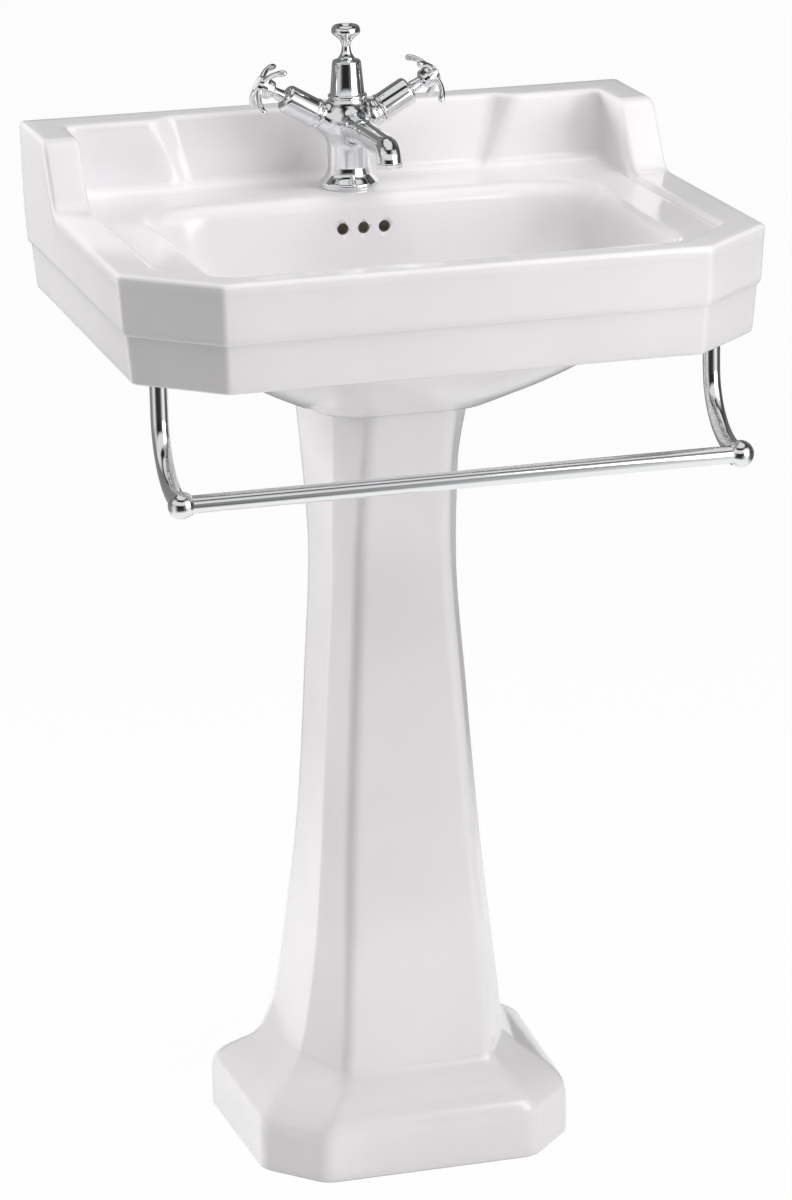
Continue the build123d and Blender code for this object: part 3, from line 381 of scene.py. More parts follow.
def curved(points, count=6):
    """Points on a smooth line through the given ones."""
    points = np.array(points, float)
    ends = np.vstack((2 * points[0] - points[1], points, 2 * points[-1] - points[-2]))
    rows = []
    for a, b, c, d in zip(ends, ends[1:], ends[2:], ends[3:]):
        for t in np.arange(count) / count:
            rows.append(0.5 * (2 * b + (c - a) * t + (2 * a - 5 * b + 4 * c - d) * t**2 + (3 * b - a - 3 * c + d) * t**3))
    return [*map(tuple, rows), tuple(points[-1])]


def turned_mesh(name, profile, origin=(0, TAP_Y, DECK), axis=(0, 0, 1)):
    """Lathed piece round an axis; a profile that starts off the axis closes on itself as a ring."""
    ring = profile[0][0] > 0
    line = softened(profile, ring)
    steps = bpy.context.scene.basin_tap.lathe_steps
    turn = 2 * math.pi * np.arange(steps) / steps
    ahead = Vector(axis).normalized()
    side = ahead.cross(Vector((0, 1, 0))).normalized()
    other = np.array(ahead.cross(side))
    around = np.cos(turn)[:, None] * np.array(side) + np.sin(turn)[:, None] * other
    rows = [np.array(origin, float) + height * np.array(ahead) + radius * around for radius, height in line]
    return ring_mesh(name, rows, long_closed=ring)


def tube_tree():
    """Geometry Nodes: a round tube of one radius along the piece's own path."""
    name = "tube_on_path"
    if name in bpy.data.node_groups:
        return bpy.data.node_groups[name]
    tree = bpy.data.node_groups.new(name, "GeometryNodeTree")
    tree.interface.new_socket(name="Path", in_out="INPUT", socket_type="NodeSocketGeometry")
    tree.interface.new_socket(name="Radius", in_out="INPUT", socket_type="NodeSocketFloat").default_value = 0.006
    tree.interface.new_socket(name="Material", in_out="INPUT", socket_type="NodeSocketMaterial")
    tree.interface.new_socket(name="Tube", in_out="OUTPUT", socket_type="NodeSocketGeometry")
    start, end = tree.nodes.new("NodeGroupInput"), tree.nodes.new("NodeGroupOutput")
    circle = add(tree, "GeometryNodeCurvePrimitiveCircle", {"Radius": start.outputs["Radius"]})
    circle.inputs["Resolution"].default_value = 64
    tube = add(tree, "GeometryNodeCurveToMesh", {"Curve": start.outputs["Path"], "Profile Curve": circle.outputs["Curve"]})
    tube.inputs["Fill Caps"].default_value = True
    smooth = add(tree, "GeometryNodeSetShadeSmooth", {"Geometry": tube.outputs["Mesh"]})
    finish = add(tree, "GeometryNodeSetMaterial", {"Geometry": smooth.outputs[0], "Material": start.outputs["Material"]})
    tree.links.new(finish.outputs[0], end.inputs[0])
    return tree


def run_tree(piece, tree, **values):
    """Give a piece a Geometry Nodes tree with its inputs set by name, and bake it."""
    change = piece.modifiers.new(tree.name, "NODES")
    change.node_group = tree
    for item in tree.interface.items_tree:
        if item.item_type == "SOCKET" and item.in_out == "INPUT" and item.name.replace(" ", "_") in values:
            change[item.identifier] = values[item.name.replace(" ", "_")]
    return bake(piece)


# Finishes: effects that several materials share are node groups, and the shader stays in each material


def new_group(name, inputs, outputs):
    tree = bpy.data.node_groups.new(name, "ShaderNodeTree")
    for label, kind, value in inputs:
        tree.interface.new_socket(name=label, in_out="INPUT", socket_type=kind).default_value = value
    for label, kind in outputs:
        tree.interface.new_socket(name=label, in_out="OUTPUT", socket_type=kind)
    return tree, tree.nodes.new("NodeGroupInput"), tree.nodes.new("NodeGroupOutput")


def add(tree, kind, links=None, **values):
    """Add a node with settings by attribute or by input, and link sockets into its inputs."""
    node = tree.nodes.new(kind)
    for key, value in values.items():
        if key[0] == "_":
            socket = node.inputs[key[1:].replace("_", " ")]
            socket.default_value = value
        else:
            setattr(node, key, value)
    for key, source in (links or {}).items():
        tree.links.new(source, node.inputs[key])
    return node


def stretched(tree, stretch):
    """Object coordinates, stretched along each axis."""
    place = add(tree, "ShaderNodeTexCoord")
    mapping = add(tree, "ShaderNodeMapping", {"Vector": place.outputs["Object"]})
    mapping.inputs["Scale"].default_value = stretch
    return mapping.outputs["Vector"]


def smudges_group():
    """Roughness that wanders between two values in soft patches."""
    name = "smudges"
    if name in bpy.data.node_groups:
        return bpy.data.node_groups[name]
    tree, start, end = new_group(
        name,
        (("Scale", "NodeSocketFloat", 9.0), ("Low", "NodeSocketFloat", 0.05), ("High", "NodeSocketFloat", 0.1)),
        (("Roughness", "NodeSocketFloat"), ("Mask", "NodeSocketFloat")),
    )
    noise = add(tree, "ShaderNodeTexNoise", {"Vector": stretched(tree, (1, 1, 1)), "Scale": start.outputs["Scale"]}, _Detail=3.0)
    ramp = add(tree, "ShaderNodeMapRange", {"Value": noise.outputs["Fac"]}, interpolation_type="SMOOTHSTEP")
    ramp.inputs["From Min"].default_value = 0.35
    ramp.inputs["From Max"].default_value = 0.65
    spread = add(tree, "ShaderNodeMapRange", {"Value": ramp.outputs["Result"], "To Min": start.outputs["Low"], "To Max": start.outputs["High"]})
    tree.links.new(spread.outputs["Result"], end.inputs["Roughness"])
    tree.links.new(ramp.outputs["Result"], end.inputs["Mask"])
    return tree


def ripple_group():
    """Height of a fired or moulded skin: slow waves with a fine peel over them."""
    name = "ripple"
    if name in bpy.data.node_groups:
        return bpy.data.node_groups[name]
    tree, start, end = new_group(
        name,
        (("Slow", "NodeSocketFloat", 22.0), ("Fine", "NodeSocketFloat", 700.0), ("Fine share", "NodeSocketFloat", 0.02)),
        (("Height", "NodeSocketFloat"),),
    )
    slow = add(tree, "ShaderNodeTexNoise", {"Vector": stretched(tree, (1, 1, 1)), "Scale": start.outputs["Slow"]}, _Detail=1.0)
    fine = add(tree, "ShaderNodeTexNoise", {"Vector": stretched(tree, (1, 1, 1)), "Scale": start.outputs["Fine"]}, _Detail=2.0)
    small = add(tree, "ShaderNodeMath", operation="MULTIPLY")
    tree.links.new(fine.outputs["Fac"], small.inputs[0])
    tree.links.new(start.outputs["Fine share"], small.inputs[1])
    total = add(tree, "ShaderNodeMath", operation="ADD")
    tree.links.new(slow.outputs["Fac"], total.inputs[0])
    tree.links.new(small.outputs[0], total.inputs[1])
    tree.links.new(total.outputs[0], end.inputs["Height"])
    return tree


def scratches_group():
    """Fine lines in one direction: the polish of a plate, the tool marks of turned metal."""
    name = "scratches"
    if name in bpy.data.node_groups:
        return bpy.data.node_groups[name]
    tree, start, end = new_group(
        name,
        (("Scale", "NodeSocketFloat", 400.0), ("Along", "NodeSocketVector", (1.0, 1.0, 12.0))),
        (("Height", "NodeSocketFloat"), ("Mask", "NodeSocketFloat")),
    )
    place = add(tree, "ShaderNodeTexCoord")
    mapping = add(tree, "ShaderNodeMapping", {"Vector": place.outputs["Object"], "Scale": start.outputs["Along"]})
    noise = add(tree, "ShaderNodeTexNoise", {"Vector": mapping.outputs["Vector"], "Scale": start.outputs["Scale"]}, _Detail=4.0, _Roughness=0.7)
    ramp = add(tree, "ShaderNodeMapRange", {"Value": noise.outputs["Fac"]})
    ramp.inputs["From Min"].default_value = 0.4
    ramp.inputs["From Max"].default_value = 0.75
    tree.links.new(noise.outputs["Fac"], end.inputs["Height"])
    tree.links.new(ramp.outputs["Result"], end.inputs["Mask"])
    return tree


def start_material(name):
    material = bpy.data.materials.new(name)
    material.use_nodes = True
    tree = material.node_tree
    tree.nodes.clear()
    out = add(tree, "ShaderNodeOutputMaterial")
    shader = add(tree, "ShaderNodeBsdfPrincipled")
    tree.links.new(shader.outputs["BSDF"], out.inputs["Surface"])
    return material, tree, shader


def place_group(tree, group, **values):
    node = add(tree, "ShaderNodeGroup")
    node.node_tree = group
    for key, value in values.items():
        node.inputs[key.replace("_", " ")].default_value = value
    return node


def mixed(tree, share, first, second):
    """Mix two colours; each may be a socket or a plain colour."""
    node = add(tree, "ShaderNodeMix", data_type="RGBA")
    sockets = [s for s in node.inputs if s.type == "RGBA"]
    factor = [s for s in node.inputs if s.type == "VALUE" and s.enabled][0]
    tree.links.new(share, factor)
    for socket, value in zip(sockets, (first, second)):
        if isinstance(value, bpy.types.NodeSocket):
            tree.links.new(value, socket)
        else:
            socket.default_value = (*value, 1)
    return [s for s in node.outputs if s.type == "RGBA"][0]


def stepped(tree, value, low, high):
    """Share that rises smoothly from 0 to 1 as the value goes from low to high."""
    node = add(tree, "ShaderNodeMapRange", {"Value": value}, interpolation_type="SMOOTHSTEP")
    node.inputs["From Min"].default_value = low
    node.inputs["From Max"].default_value = high
    return node.outputs["Result"]


def combined(tree, operation, first, second):
    node = add(tree, "ShaderNodeMath", operation=operation)
    for socket, value in zip(node.inputs, (first, second)):
        if isinstance(value, bpy.types.NodeSocket):
            tree.links.new(value, socket)
        else:
            socket.default_value = value
    return node.outputs[0]


def raised(tree, shader, height, distance, strength=1.0):
    bump = add(tree, "ShaderNodeBump", {"Height": height}, _Strength=strength, _Distance=distance)
    tree.links.new(bump.outputs["Normal"], shader.inputs["Normal"])


def china_material(name):
    """White glaze over clay: waves, a fine peel, pooled tone, and bare clay under the foot, on the wall side and in the overflow."""
    glaze = bpy.context.scene.basin_glaze
    material, tree, shader = start_material(name)
    place = add(tree, "ShaderNodeTexCoord")
    axes = add(tree, "ShaderNodeSeparateXYZ", {"Vector": place.outputs["Object"]})
    smudges = place_group(tree, smudges_group(), Scale=7.0, Low=glaze.roughness * 0.8, High=glaze.roughness * 1.25)
    ripple = place_group(tree, ripple_group(), Slow=18.0, Fine=650.0, Fine_share=0.02)
    tone = mixed(tree, smudges.outputs["Mask"], glaze.colour, glaze.pooled)
    foot = stepped(tree, axes.outputs["Z"], 0.0012, 0.0006)
    back = stepped(tree, axes.outputs["Y"], 0.2342, 0.2347)
    above = stepped(tree, axes.outputs["Z"], 0.8308, 0.8316)
    below = stepped(tree, axes.outputs["Z"], 0.8432, 0.8424)
    leaning = combined(tree, "SUBTRACT", axes.outputs["Y"], combined(tree, "MULTIPLY", axes.outputs["Z"], 0.1))
    behind = stepped(tree, leaning, 0.0192, 0.02)
    before = stepped(tree, axes.outputs["Y"], 0.1155, 0.1145)
    middle = stepped(tree, combined(tree, "ABSOLUTE", axes.outputs["X"], 0.0), 0.0275, 0.0265)
    waterway = combined(tree, "MULTIPLY", combined(tree, "MULTIPLY", above, below), combined(tree, "MULTIPLY", behind, before))
    waterway = combined(tree, "MULTIPLY", waterway, middle)
    bare = combined(tree, "MAXIMUM", combined(tree, "MAXIMUM", foot, back), waterway)
    grain = add(tree, "ShaderNodeTexNoise", {"Vector": place.outputs["Object"]}, _Scale=900.0, _Detail=3.0)
    clay_tone = mixed(tree, grain.outputs["Fac"], glaze.clay, tuple(0.62 * v for v in glaze.clay))
    tree.links.new(mixed(tree, bare, tone, clay_tone), shader.inputs["Base Color"])
    rough = combined(tree, "MAXIMUM", smudges.outputs["Roughness"], combined(tree, "MULTIPLY", bare, 0.8))
    tree.links.new(rough, shader.inputs["Roughness"])
    grit = combined(tree, "MULTIPLY", combined(tree, "MULTIPLY", grain.outputs["Fac"], bare), 1.5)
    raised(tree, shader, combined(tree, "ADD", ripple.outputs["Height"], grit), glaze.ripple)
    shader.inputs["IOR"].default_value = 1.52
    return material


def plated_material(name, colour, low, high, lines, line_depth, dull=0.85):
    """Metal with soft smudges in its gloss and fine lines from its polishing or turning."""
    material, tree, shader = start_material(name)
    smudges = place_group(tree, smudges_group(), Scale=45.0, Low=low, High=high)
    scratches = place_group(tree, scratches_group(), Scale=lines, Along=(1.0, 1.0, 9.0))
    tone = mixed(tree, scratches.outputs["Mask"], colour, tuple(dull * v for v in colour))
    tree.links.new(tone, shader.inputs["Base Color"])
    tree.links.new(smudges.outputs["Roughness"], shader.inputs["Roughness"])
    raised(tree, shader, scratches.outputs["Height"], line_depth)
    shader.inputs["Metallic"].default_value = 1.0
    return material


def zinc_material(name, colour):
    """Zinc plate: a faint patchwork of crystals, each with its own tone and gloss."""
    material, tree, shader = start_material(name)
    place = add(tree, "ShaderNodeTexCoord")
    cells = add(tree, "ShaderNodeTexVoronoi", {"Vector": place.outputs["Object"]}, _Scale=420.0)
    shade = add(tree, "ShaderNodeSeparateColor", {"Color": cells.outputs["Color"]})
    tree.links.new(mixed(tree, shade.outputs[0], colour, tuple(0.72 * v for v in colour)), shader.inputs["Base Color"])
    gloss = add(tree, "ShaderNodeMapRange", {"Value": shade.outputs[1]})
    gloss.inputs["To Min"].default_value = 0.22
    gloss.inputs["To Max"].default_value = 0.4
    tree.links.new(gloss.outputs["Result"], shader.inputs["Roughness"])
    scratches = place_group(tree, scratches_group(), Scale=900.0, Along=(1.0, 1.0, 1.0))
    raised(tree, shader, scratches.outputs["Height"], 0.00004)
    shader.inputs["Metallic"].default_value = 1.0
    return material


def moulded_material(name, colour, low, high, fine, depth):
    """Rubber, plastic or enamel: a moulded skin with a fine grain and patches of gloss."""
    material, tree, shader = start_material(name)
    smudges = place_group(tree, smudges_group(), Scale=60.0, Low=low, High=high)
    ripple = place_group(tree, ripple_group(), Slow=80.0, Fine=fine, Fine_share=0.5)
    tree.links.new(mixed(tree, smudges.outputs["Mask"], colour, tuple(0.85 * v for v in colour)), shader.inputs["Base Color"])
    tree.links.new(smudges.outputs["Roughness"], shader.inputs["Roughness"])
    raised(tree, shader, ripple.outputs["Height"], depth)
    return material


def chrome_material():
    name = "chrome_plate"
    if name in bpy.data.materials:
        return bpy.data.materials[name]
    plate = bpy.context.scene.basin_plate
    return plated_material(name, tuple(plate.chrome), plate.chrome_roughness * 0.7, plate.chrome_roughness * 1.6, 500.0, 0.000004, 0.97)


# Basin: one closed skin of loops that all have the same stations, from the middle of the back round to itself

STATIONS = {
    "panel": 18,
    "facet": 4,
    "shoulder": 8,
    "rear": 8,
    "wing": 8,
    "sweep": 40,
    "side": 20,
    "vertex": 7,
    "facing": 14,
    "front": 36,
}
# The bowl's side, inside and underneath, as shares of its depth and of its spread, and how far each lies from the lip
BOWL_PATH = np.array(((0, 1), (0.12, 0.965), (0.45, 0.86), (0.74, 0.63), (0.92, 0.31), (1, 0)))
HULL_PATH = np.array(((0, 1), (0.12, 0.965), (0.41, 0.86), (0.655, 0.66), (0.82, 0.41), (0.915, 0.21), (1, 0)))
FRONT_ROUND = np.array((40, 88, 102, 70, 48, 42))[:, None]
BOWL_WALK, HULL_WALK = (
    np.r_[0, np.cumsum(np.hypot(*(np.diff(path, axis=0) * (144, 140)).T))] for path in (BOWL_PATH, HULL_PATH)
)
BEFORE_SWEEP = sum(STATIONS[key] for key in ("panel", "facet", "shoulder", "rear", "wing"))
HALF_LOOP = sum(STATIONS.values()) + STATIONS["vertex"] + 1


def whole(half):
    """Loop made of a left half, from the middle of the back to the middle of the front, and its mirror image."""
    return np.vstack((half, half[1:-1][::-1] * np.array((-1, 1))))


def sweep_line():
    """Wing's front edge as y and z: level on top, a round shoulder, a steep slope and a hollow foot on the rim."""
    line = np.array(((155.0, UPSTAND), (128.0, UPSTAND), (91.0, RIM), (62.0, RIM)))
    out = [line[0]]
    for k, radius in ((1, 18.0), (2, 24.0)):
        out += [row[0] for row in rounding(line[k - 1][None], line[k][None], line[k + 1][None], radius, 14)]
    out = np.array(out + [line[3]])
    walked = np.r_[0, np.cumsum(np.linalg.norm(np.diff(out, axis=0), axis=1))]
    marks = np.linspace(0, walked[-1], STATIONS["sweep"] + 1)
    return np.interp(marks, walked, out[:, 0]), np.interp(marks, walked, out[:, 1])


def outline_loop(inset, back, rear_round=3.0, panel=(152.0, 165.0), bay=0.0, on_sweep=False):
    """Loop parallel to the basin's outline, with its own wall side and a shallow bay in the middle of that."""
    n = STATIONS
    half = HALF_WIDTH - inset
    first = np.array((-half, -165.0 + 0.4224 * inset))
    second = np.array((-208.0 + 0.406 * inset, FRONT + inset))
    slant = (second - first) / np.linalg.norm(second - first)
    corner = 9.0
    turn = math.atan2(slant[0], -slant[1])
    reach_first = corner * math.tan(turn / 2)
    reach_second = corner * math.tan((math.pi / 2 - turn) / 2)
    degrees = math.degrees(turn)
    arc_first = np.array((-half + corner, first[1] + reach_first))
    arc_second = np.array((second[0] + reach_second, second[1] + corner))
    sweep_y = sweep_line()[0]
    sweep = span((-half, sweep_y[0]), (-half, sweep_y[-1]), n["sweep"])
    if on_sweep:
        sweep[:, 1] = sweep_y[:-1]
    half_loop = np.vstack(
        (
            span((0, back + bay), (-panel[0], back + bay), n["panel"]),
            span((-panel[0], back + bay), (-panel[1], back), n["facet"]),
            span((-panel[1], back), (-half + rear_round, back), n["shoulder"]),
            bow((-half + rear_round, back - rear_round), rear_round, 90, 180, n["rear"]),
            span((-half, back - rear_round), (-half, sweep_y[0]), n["wing"]),
            sweep,
            span((-half, sweep_y[-1]), (-half, arc_first[1]), n["side"]),
            bow(arc_first, corner, 180, 180 + degrees, n["vertex"]),
            span(first + slant * reach_first, second - slant * reach_second, n["facing"]),
            bow(arc_second, corner, 180 + degrees, 270, n["vertex"]),
            span((arc_second[0], FRONT + inset), (0, FRONT + inset), n["front"] + 1),
        )
    )
    half_loop[-1] = (0, FRONT + inset)
    return whole(half_loop)


def bowl_loop(share, grow=0.0, bulge=0.0):
    """Loop of the bowl where it has that share of its spread between floor and lip."""
    n = STATIONS
    half = 62.0 + 140.0 * share + grow
    front = WASTE_Y - 58.0 + (-197.0 - WASTE_Y + 58.0) * share - grow
    rear = WASTE_Y + 34.0 + (104.0 - WASTE_Y - 34.0) * share + grow
    scale = 0.55 + 0.45 * share
    rear_round = 58.0 * scale
    front_round = smooth_through((0, 0.36, 0.66, 0.86, 0.965, 1), FRONT_ROUND, np.array([np.clip(share, 0, 1)]))[0, 0]
    edge = rear - rear_round + (front + front_round - rear + rear_round) * 0.3
    half_loop = np.vstack(
        (
            span((0, rear), (-half + rear_round, rear), n["panel"] + n["facet"] + n["shoulder"]),
            bow((-half + rear_round, rear - rear_round), rear_round, 90, 180, n["rear"] + n["wing"]),
            span((-half, rear - rear_round), (-half, edge), n["sweep"]),
            span((-half, edge), (-half, front + front_round), n["side"]),
            bow((-half + front_round, front + front_round), front_round, 180, 270, 2 * n["vertex"] + n["facing"]),
            span((-half + front_round, front), (0, front), n["front"] + 1),
        )
    )
    half_loop[-1] = (0, front)
    if bulge:
        near = np.clip((40 - np.abs(half_loop[:, 0])) / 8, 0, 1)
        half_loop[:, 1] += bulge * near * near * (3 - 2 * near) * (half_loop[:, 1] > WASTE_Y)
    return whole(half_loop)


def basin_crest():
    """Height and direction of the basin's upper edge at every station: the upstand, its wings' sweep and the rim."""
    sweep_y, sweep_z = sweep_line()
    on_sweep = slice(BEFORE_SWEEP, BEFORE_SWEEP + STATIONS["sweep"])
    top = np.full(HALF_LOOP, RIM)
    top[:BEFORE_SWEEP] = UPSTAND
    top[on_sweep] = sweep_z[:-1]
    dy, dz = np.gradient(sweep_y), np.gradient(sweep_z)
    size = np.hypot(dy, dz)
    normal = np.tile((0.0, 0.0, 1.0), (HALF_LOOP, 1))
    normal[on_sweep, 1] = (dz / size)[:-1]
    normal[on_sweep, 2] = (-dy / size)[:-1]
    return np.r_[top, top[1:-1][::-1]], np.vstack((normal, normal[1:-1][::-1]))


def bowl_side(marks):
    """Points down the bowl's side, each station at its own distance from the lip."""
    count = 120
    far = BOWL_WALK[-1]
    line = smooth_through(BOWL_WALK, BOWL_PATH, np.linspace(0, far, count + 1))
    table = np.stack([level(bowl_loop(spread), DECK - 144 * depth) for depth, spread in line])
    place = np.clip(marks / far * count, 0, count - 1e-6)
    low, share = place.astype(int), (place % 1)[:, None]
    each = np.arange(table.shape[1])
    return table[low, each] * (1 - share) + table[low + 1, each] * share


def lip_row(degrees):
    """Row of the bowl's rounded lip, which is softer at the back than at the front."""
    edge, outer = bowl_loop(1.0), bowl_loop(1.0, 1.0)
    near = np.clip((edge[:, 1] + 60) / 140, 0, 1)
    lip = 5.5 + 7.5 * near * near * (3 - 2 * near)
    turn = math.radians(degrees)
    row = bowl_side(lip * (1 - math.cos(turn)))
    row[:, :2] += (outer - edge) * (lip * (1 - math.sin(turn)))[:, None]
    row[:, 2] = DECK - lip * (1 - math.cos(turn))
    return row, lip


def drawn_forward(loop, reach):
    """Loop whose front is moved towards the basin's front edge, with the sides as they are."""
    near = np.clip((-140 - loop[:, 1]) / 55, 0, 1)
    loop[:, 1] -= reach * near * near * (3 - 2 * near)
    return loop


def outside_rows(top, normal, edge_round):
    """Rows from the underside's rim up the two bands and over the upper edge down to the deck."""
    rise = (top - RIM) / (UPSTAND - RIM)

    def outer(inset, z):
        return level(outline_loop(inset, WALL - 0.02 * inset), z)

    skirt_top = level(outline_loop(20, 221, 6), 853)
    skirt_foot = level(outline_loop(24, 221, 6), 777)
    band_foot, band_head = outer(10, 777), outer(6, 819)
    hem = [outer(6 - 3.46 * math.sin(turn), 827 - 8 * math.cos(turn)) for turn in np.linspace(0, math.pi / 2, 9)[1:]]
    shoulder = outer(0.75, 858)
    crest = np.column_stack((outline_loop(0, WALL, on_sweep=True), top))
    crest_low = crest - normal * 8
    upper_in = outline_loop(33, 189, 10, (152, 165), 13, on_sweep=True)
    rim_in = drawn_forward(outline_loop(32, 189, 10, (152, 165), 13, on_sweep=True), 5)
    brow = np.column_stack((upper_in * rise[:, None] + rim_in * (1 - rise[:, None]), top))
    upper_in = outline_loop(33, 192, 10, (136, 142), 6)
    rim_in = drawn_forward(outline_loop(38, 192, 10, (136, 142), 6), 6.8)
    foot = level(upper_in * rise[:, None] + rim_in * (1 - rise[:, None]), DECK)
    fall = foot - brow
    flat = np.column_stack((fall[:, :2], np.zeros(len(fall)))) * (rise[:, None] < 0.001)
    face = flat - normal * np.abs(fall[:, 2:3])
    face_size = np.linalg.norm(face, axis=1, keepdims=True)
    brow_low = brow + face / face_size * np.minimum(8, 0.62 * face_size)
    lip = lip_row(0)[0]
    inward = lip - foot
    shore = foot + inward * np.minimum(14 / np.linalg.norm(inward, axis=1, keepdims=True), 0.3)
    radius = 4 + (edge_round - 4) * np.minimum(rise * 4, 1)

    rows = rounding(level(outline_loop(60, 190, 6), 853), skirt_top, skirt_foot, 7)
    rows += between(skirt_top, skirt_foot, 2)
    rows += rounding(skirt_top, skirt_foot, band_foot, 3)
    rows += rounding(skirt_foot, band_foot, band_head, 3.5)
    rows += between(band_foot, band_head, 3)
    rows += rounding(band_foot, band_head, hem[0], 0.6, 3)
    rows += hem
    rows += between(hem[-1], shoulder, 3)
    rows += between(shoulder, crest_low, 4)
    rows += rounding(crest_low, crest, brow, radius, 6)
    rows += between(crest, brow, 5)[1:-1]
    rows += rounding(crest, brow, brow_low, radius, 5)
    rows += between(brow_low, foot, 4)[1:-1]
    rows += rounding(brow_low, foot, shore, 4 + 5 * rise, 5)
    rows += between(shore, lip, 5)
    return rows


def bowl_rows(skirt):
    """Rows over the bowl's lip, down to the waste hole, through it and back up the outer skin to the skirt."""
    rows = [lip_row(degrees)[0] for degrees in (0, 12, 24, 36, 48, 60, 75)]
    lip = lip_row(0)[1]
    rows += [bowl_side(lip + (BOWL_WALK[-1] - lip) * share) for share in np.linspace(0, 1, 30)]

    ring = bowl_loop(0.0) - np.array((0, WASTE_Y))
    ring = ring / np.linalg.norm(ring, axis=1, keepdims=True)

    def circle(radius, z):
        return level(ring * radius + np.array((0, WASTE_Y)), z)

    floor = level(bowl_loop(0.0), 722)
    edge, pit, hole, mouth = circle(32.5, 722), circle(32.5, 718.5), circle(22.5, 718.5), circle(22.5, 700)
    hull_floor = level(bowl_loop(0.0, 11, 9), 700)
    rows += between(floor, edge, 2)
    rows += rounding(floor, edge, pit, 1.0, 2)
    rows += rounding(edge, pit, hole, 0.6, 2)
    rows += rounding(pit, hole, mouth, 0.6, 2)
    rows += rounding(hole, mouth, hull_floor, 0.6, 2)
    rows += between(mouth, hull_floor, 2)
    under_deck = (DECK - 853) / (DECK - 700)
    stop = np.interp(under_deck + 0.03, HULL_PATH[:, 0], HULL_WALK)
    for depth, spread in smooth_through(HULL_WALK, HULL_PATH, np.linspace(HULL_WALK[-1], stop, 24)[1:]):
        rows.append(level(bowl_loop(spread, 11, 9), DECK - 166 * depth))
    hull_top = level(bowl_loop(0.977, 11, 9), 853)
    rows += rounding(rows[-1], hull_top, skirt, 5, 4)
    rows += between(hull_top, skirt, 3)
    return rows


class OBJECT_OT_basin_china(bpy.types.Operator):
    """Make the basin with its soft edges, its holes and the lugs for the rail"""

    bl_idname = "object.basin_china"
    bl_label = "Basin"

    def execute(self, context):
        glaze = context.scene.basin_glaze
        top, normal = basin_crest()
        rows = outside_rows(top, normal, glaze.upstand_round * 1000)
        piece = ring_mesh("basin_skin", rows + bowl_rows(rows[0]))
        cut(piece, block_mesh((-26, 106, 822), (26, 114, 846)))
        holes = [((side * 19, 97, 837), (0, 1, 0), 5.3, 22) for side in (-1, 0, 1)]
        holes += [((side * 140, 228, 815), (0, 1, 0), 7, 30) for side in (-1, 1)]
        holes.append(((0, TAP_Y, 860), (0, 0, 1), 17.5, 40))
        cut(piece, rod_mesh(holes))
        work = bmesh.new()
        work.from_mesh(piece.data)
        for side in (-1, 1):
            lug = put("lug", block_mesh((side * 239 - 20, -157.5, 783), (side * 239 + 20, -110.5, 796.5)))
            soft = lug.modifiers.new("soft", "BEVEL")
            soft.width = 0.0025
            soft.segments = 3
            bake(lug)
            cut(lug, rod_mesh([((side * BALL_X, BRACKET_Y, 790), (0, 0, 1), 5, 30)]))
            work.from_mesh(lug.data)
            bpy.data.objects.remove(lug)
        work.to_mesh(piece.data)
        work.free()
        piece.data.materials.clear()
        piece.data.materials.append(china_material("basin_glaze"))
        piece.data.shade_smooth()
        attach(piece, "fixed")
        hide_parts("basin")
        return {"FINISHED"}


# Pedestal: a wall of one thickness, open at the back, with soft corners that follow the column up

PEDESTAL_KEYS = (
    (42.0, 98.0, 293.0, 145.0, 243.0, 152.0, 78.0, 23.6),
    (50.0, 96.22, 290.84, 142.1, 240.42, 149.6, 80.4, 23.0),
    (60.0, 90.9, 284.36, 133.41, 232.68, 142.4, 87.6, 21.3),
    (70.0, 82.61, 274.28, 119.88, 220.64, 131.2, 98.8, 18.6),
    (80.0, 73.73, 263.48, 105.39, 207.74, 119.2, 110.8, 15.7),
    (92.0, 68.4, 257.0, 96.7, 200.0, 112.0, 118.0, 14.0),
    (120.0, 66.0, 260.0, 92.5, 207.0, 100.0, 118.0, 14.0),
    (200.0, 62.8, 258.5, 82.5, 214.0, 86.0, 118.0, 14.0),
    (300.0, 57.4, 251.0, 73.6, 211.5, 72.0, 118.0, 14.0),
    (430.0, 49.5, 247.0, 65.0, 208.5, 62.0, 118.0, 14.0),
    (550.0, 42.0, 244.0, 57.7, 210.0, 55.0, 118.0, 14.0),
    (640.0, 38.5, 260.0, 57.5, 222.0, 60.0, 118.0, 14.0),
    (700.0, 37.8, 282.0, 61.7, 241.0, 65.0, 118.0, 14.0),
)


